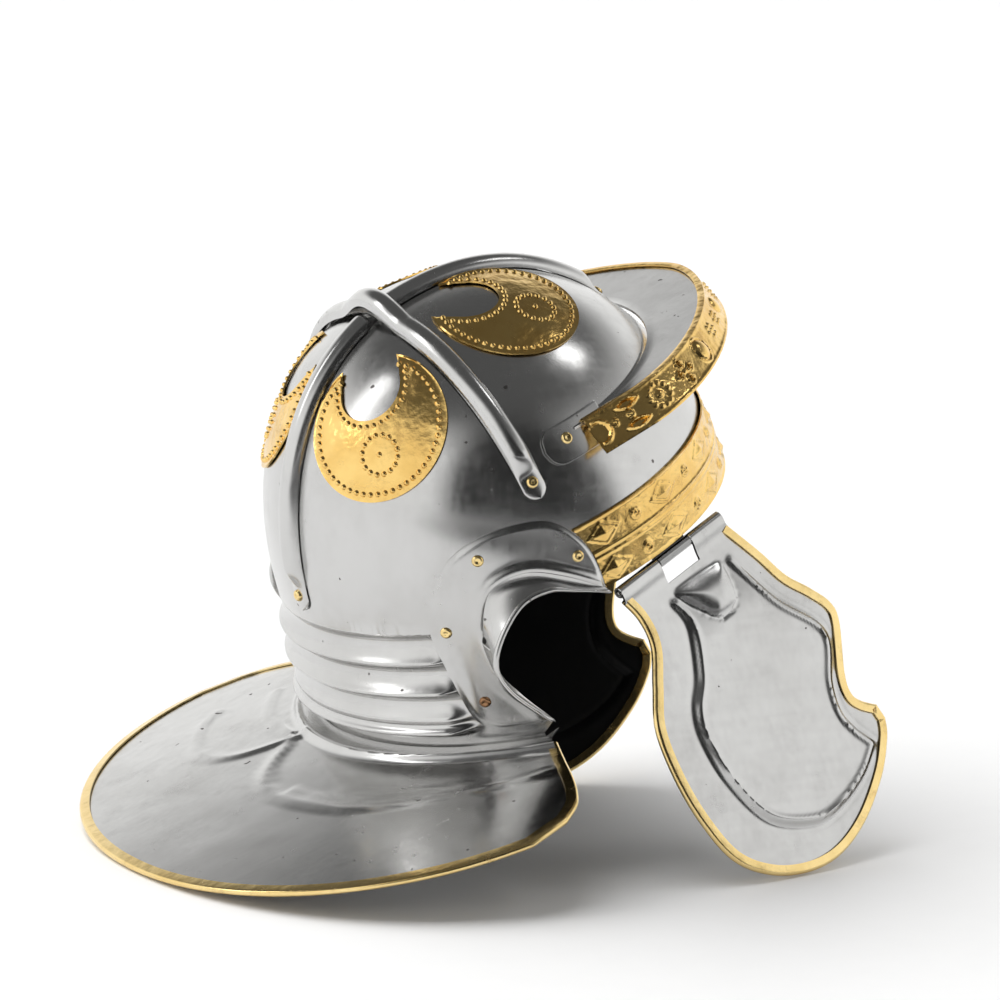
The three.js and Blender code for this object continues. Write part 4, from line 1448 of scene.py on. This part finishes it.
CHEEK_PLACE = {
    "right": hinge_place(-1, -SPLAY["right"]),
    "left": hinge_place(1, -SPLAY["left"]) @ Matrix.Scale(-1, 4, (0, 1, 0)),
}
for name, place in CHEEK_PLACE.items():
    piece(
        f"cheek_sheet_{name}", guard_whole.copy(), [STEEL, PAINT], f"cheek_{name}",
        [f"cheek_guard_{name}"], place,
    )

# %% [markdown]
# ## Trim of the cheek guards
#
# The same folded brass runs down the back, round the foot and up the front,
# with a sharp turn at the waist. It is open at the top, where the hinge is.

# %% Trim of the cheek guards
def cheek_trim():
    path = spaced(on_cheek(CHEEK_BACK, 96) + on_cheek(CHEEK_AHEAD, 76), 0.3)
    count = len(path)
    places = []
    for i, (a, z) in enumerate(path):
        b, c = path[max(i - 1, 0)], path[min(i + 1, count - 1)]
        run = Vector((c[0] - b[0], 0, c[1] - b[1])).normalized()
        up = Vector((0, -1, 0))
        out = run.cross(up)
        places.append((Vector((a, 0, z)) - out * TRIM_REACH, out, up))
    if places[40][1].x > 0:
        places = [(at + 2 * TRIM_REACH * out, -out, up) for at, out, up in places]
    return sweep(trim_rings(places, channel(TRIM_REACH - 0.05, 3.6, 1.6, 0.75)))


fold = cheek_trim()
for name, place in CHEEK_PLACE.items():
    piece(
        f"cheek_fold_{name}", fold.copy(), [BRASS_ROLLED], f"cheek_{name}",
        [f"cheek_trim_{name}"], place,
    )

# %% [markdown]
# ## Pin and leaf
#
# The pin is a short steel wire with its ends filed round. The leaf is the
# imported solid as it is, and only gets the darker steel.

# %% Leaf and pin
PIN_PLACE = {
    "right": hinge_place(-1, 0),
    "left": hinge_place(1, 0) @ Matrix.Scale(-1, 4, (0, 1, 0)),
}
pin = sweep([
    [Vector((x, r * math.cos(a), r * math.sin(a))) for a in [math.pi * i / 8 for i in range(16)]]
    for x, r in ((0.05, 0.7), (0.3, 1.05), (71.7, 1.05), (71.95, 0.7))
])
for name, place in PIN_PLACE.items():
    piece(
        f"pin_{name}", pin.copy(), [STEEL_DARK], "helmet", [f"hinge_pin_{name}"], place,
    )
for name in ("right", "left"):
    leaf_node = frame["nodes"][f"hinge_leaf_{name}"]
    leaf_node.data.materials.clear()
    leaf_node.data.materials.append(STEEL_DARK)

# %% [markdown]
# ## Floor and light
#
# Polished steel shows the room more than the lights. The table is white, the
# wall behind the helmet is white too, and the side of the room where the
# viewer stands is dark, as is the ceiling. A wide soft light whitens the table
# without showing in the steel, and two small ones give the brass its sparkle.

# %% Floor
def flat(size):
    bm = bmesh.new()
    bmesh.ops.create_grid(bm, x_segments=1, y_segments=1, size=size)
    return bm


def make_paper():
    paper = Finish("white_paper", 0.0)
    grain = paper.noise(60.0, 2.0)
    colour = paper.mix(grain, (0.93, 0.93, 0.93, 1), (0.95, 0.95, 0.95, 1))
    return paper.done(colour, 0.6, paper.bump(grain, 0.0001, 0.2))


floor = put_in_scene("floor", as_mesh("floor", flat(14.0), [make_paper()]))
floor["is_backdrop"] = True


# %% [markdown]
# ## Dark cloth
#
# The lower curves of the steel mirror the ground in front of the helmet, and
# there they are dark. A dark cloth lies there that only reflections can see.

# %% Dark cloth
def make_cloth():
    bm = flat(1.0)
    bmesh.ops.scale(bm, vec=(2.2, 1.1, 1), verts=bm.verts[:])
    askew = Matrix.Rotation(math.radians(5), 3, "Z")
    bmesh.ops.rotate(bm, cent=(0, 0, 0), matrix=askew, verts=bm.verts[:])
    bmesh.ops.translate(bm, vec=(0.2, -1.75, 0.004), verts=bm.verts[:])
    cloth = put_in_scene("cloth", as_mesh("cloth", bm, [PAINT]))
    cloth.visible_camera = False
    cloth.visible_diffuse = False
    cloth.visible_shadow = False
    cloth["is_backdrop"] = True


make_cloth()


# %% [markdown]
# ## Lights
#
# The sun is spread over a wide angle, so its shadows are as soft as those of
# a big window. The two panels are weak: more would wash out the steel.

# %% Lights
def make_light(name, kind, place, energy, aim=(0, 0, 0.12)):
    data = bpy.data.lights.new(name, kind)
    data.energy = energy
    light = put_in_scene(name, data)
    light.location = place
    light.rotation_mode = "QUATERNION"
    light.rotation_quaternion = (Vector(aim) - Vector(place)).to_track_quat("-Z", "Y")
    return light


day = make_light("day", "SUN", (-0.5, 1.0, 2.0), 2.7)
day.data.angle = math.radians(60)
day.visible_glossy = False
for name, place, size, power_w in (
    ("window", (-2.3, 0.9, 1.9), (0.5, 1.5), 7),
    ("lamp", (1.5, -0.6, 2.4), (0.5, 0.5), 2.5),
):
    panel = make_light(name, "AREA", place, power_w)
    panel.data.shape = "RECTANGLE"
    panel.data.size, panel.data.size_y = size


# %% [markdown]
# ## The room
#
# The world stands for the room. It is white all round, fades to dark towards
# the side the viewer is on, and fades to dark towards the ceiling. The camera
# itself sees plain white behind the helmet.

# %% Room
FRONT = Vector((-0.12, -0.993, 0))


def make_room():
    world = bpy.data.worlds.new("room")
    world.use_nodes = True
    room = Sums(world.node_tree, "Generated")
    height = room.node("ShaderNodeSeparateXYZ", {}, {0: room.place}, "Z")
    along = {"operation": "DOT_PRODUCT"}
    front = room.node("ShaderNodeVectorMath", along, {0: room.place, 1: FRONT}, "Value")
    wall = (1 - front.between(0.62, 0.8)) * (1 - height.between(0.38, 0.74) * 0.93)
    grey = wall * 1.1 + 0.035
    colour = room.node("ShaderNodeCombineColor", {}, {0: grey, 1: grey, 2: grey * 0.99})
    seen = room.node("ShaderNodeLightPath", output="Is Camera Ray")
    shown = room.mix(seen, colour, (1, 1, 1, 1))
    room.feed(world.node_tree.nodes["Background"].inputs["Color"], shown)
    bpy.context.scene.world = world


make_room()
bpy.context.scene.view_settings.view_transform = "Standard"

# %% [markdown]
# ## Size and finish
#
# The box of the dressed model is measured and set against the box of the
# plain one, and how far it goes over is printed. The dressed model must
# stay inside the box of the plain one.

# %% Measure and finish
seen_box = [list(corner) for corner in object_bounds()]
spare = [round((s - m) * 1000 * sign, 2) for sign, seen, model in
         ((-1, seen_box[0], model_box[0]), (1, seen_box[1], model_box[1]))
         for s, m in zip(seen, model)]
print("over the box by, mm", spare)
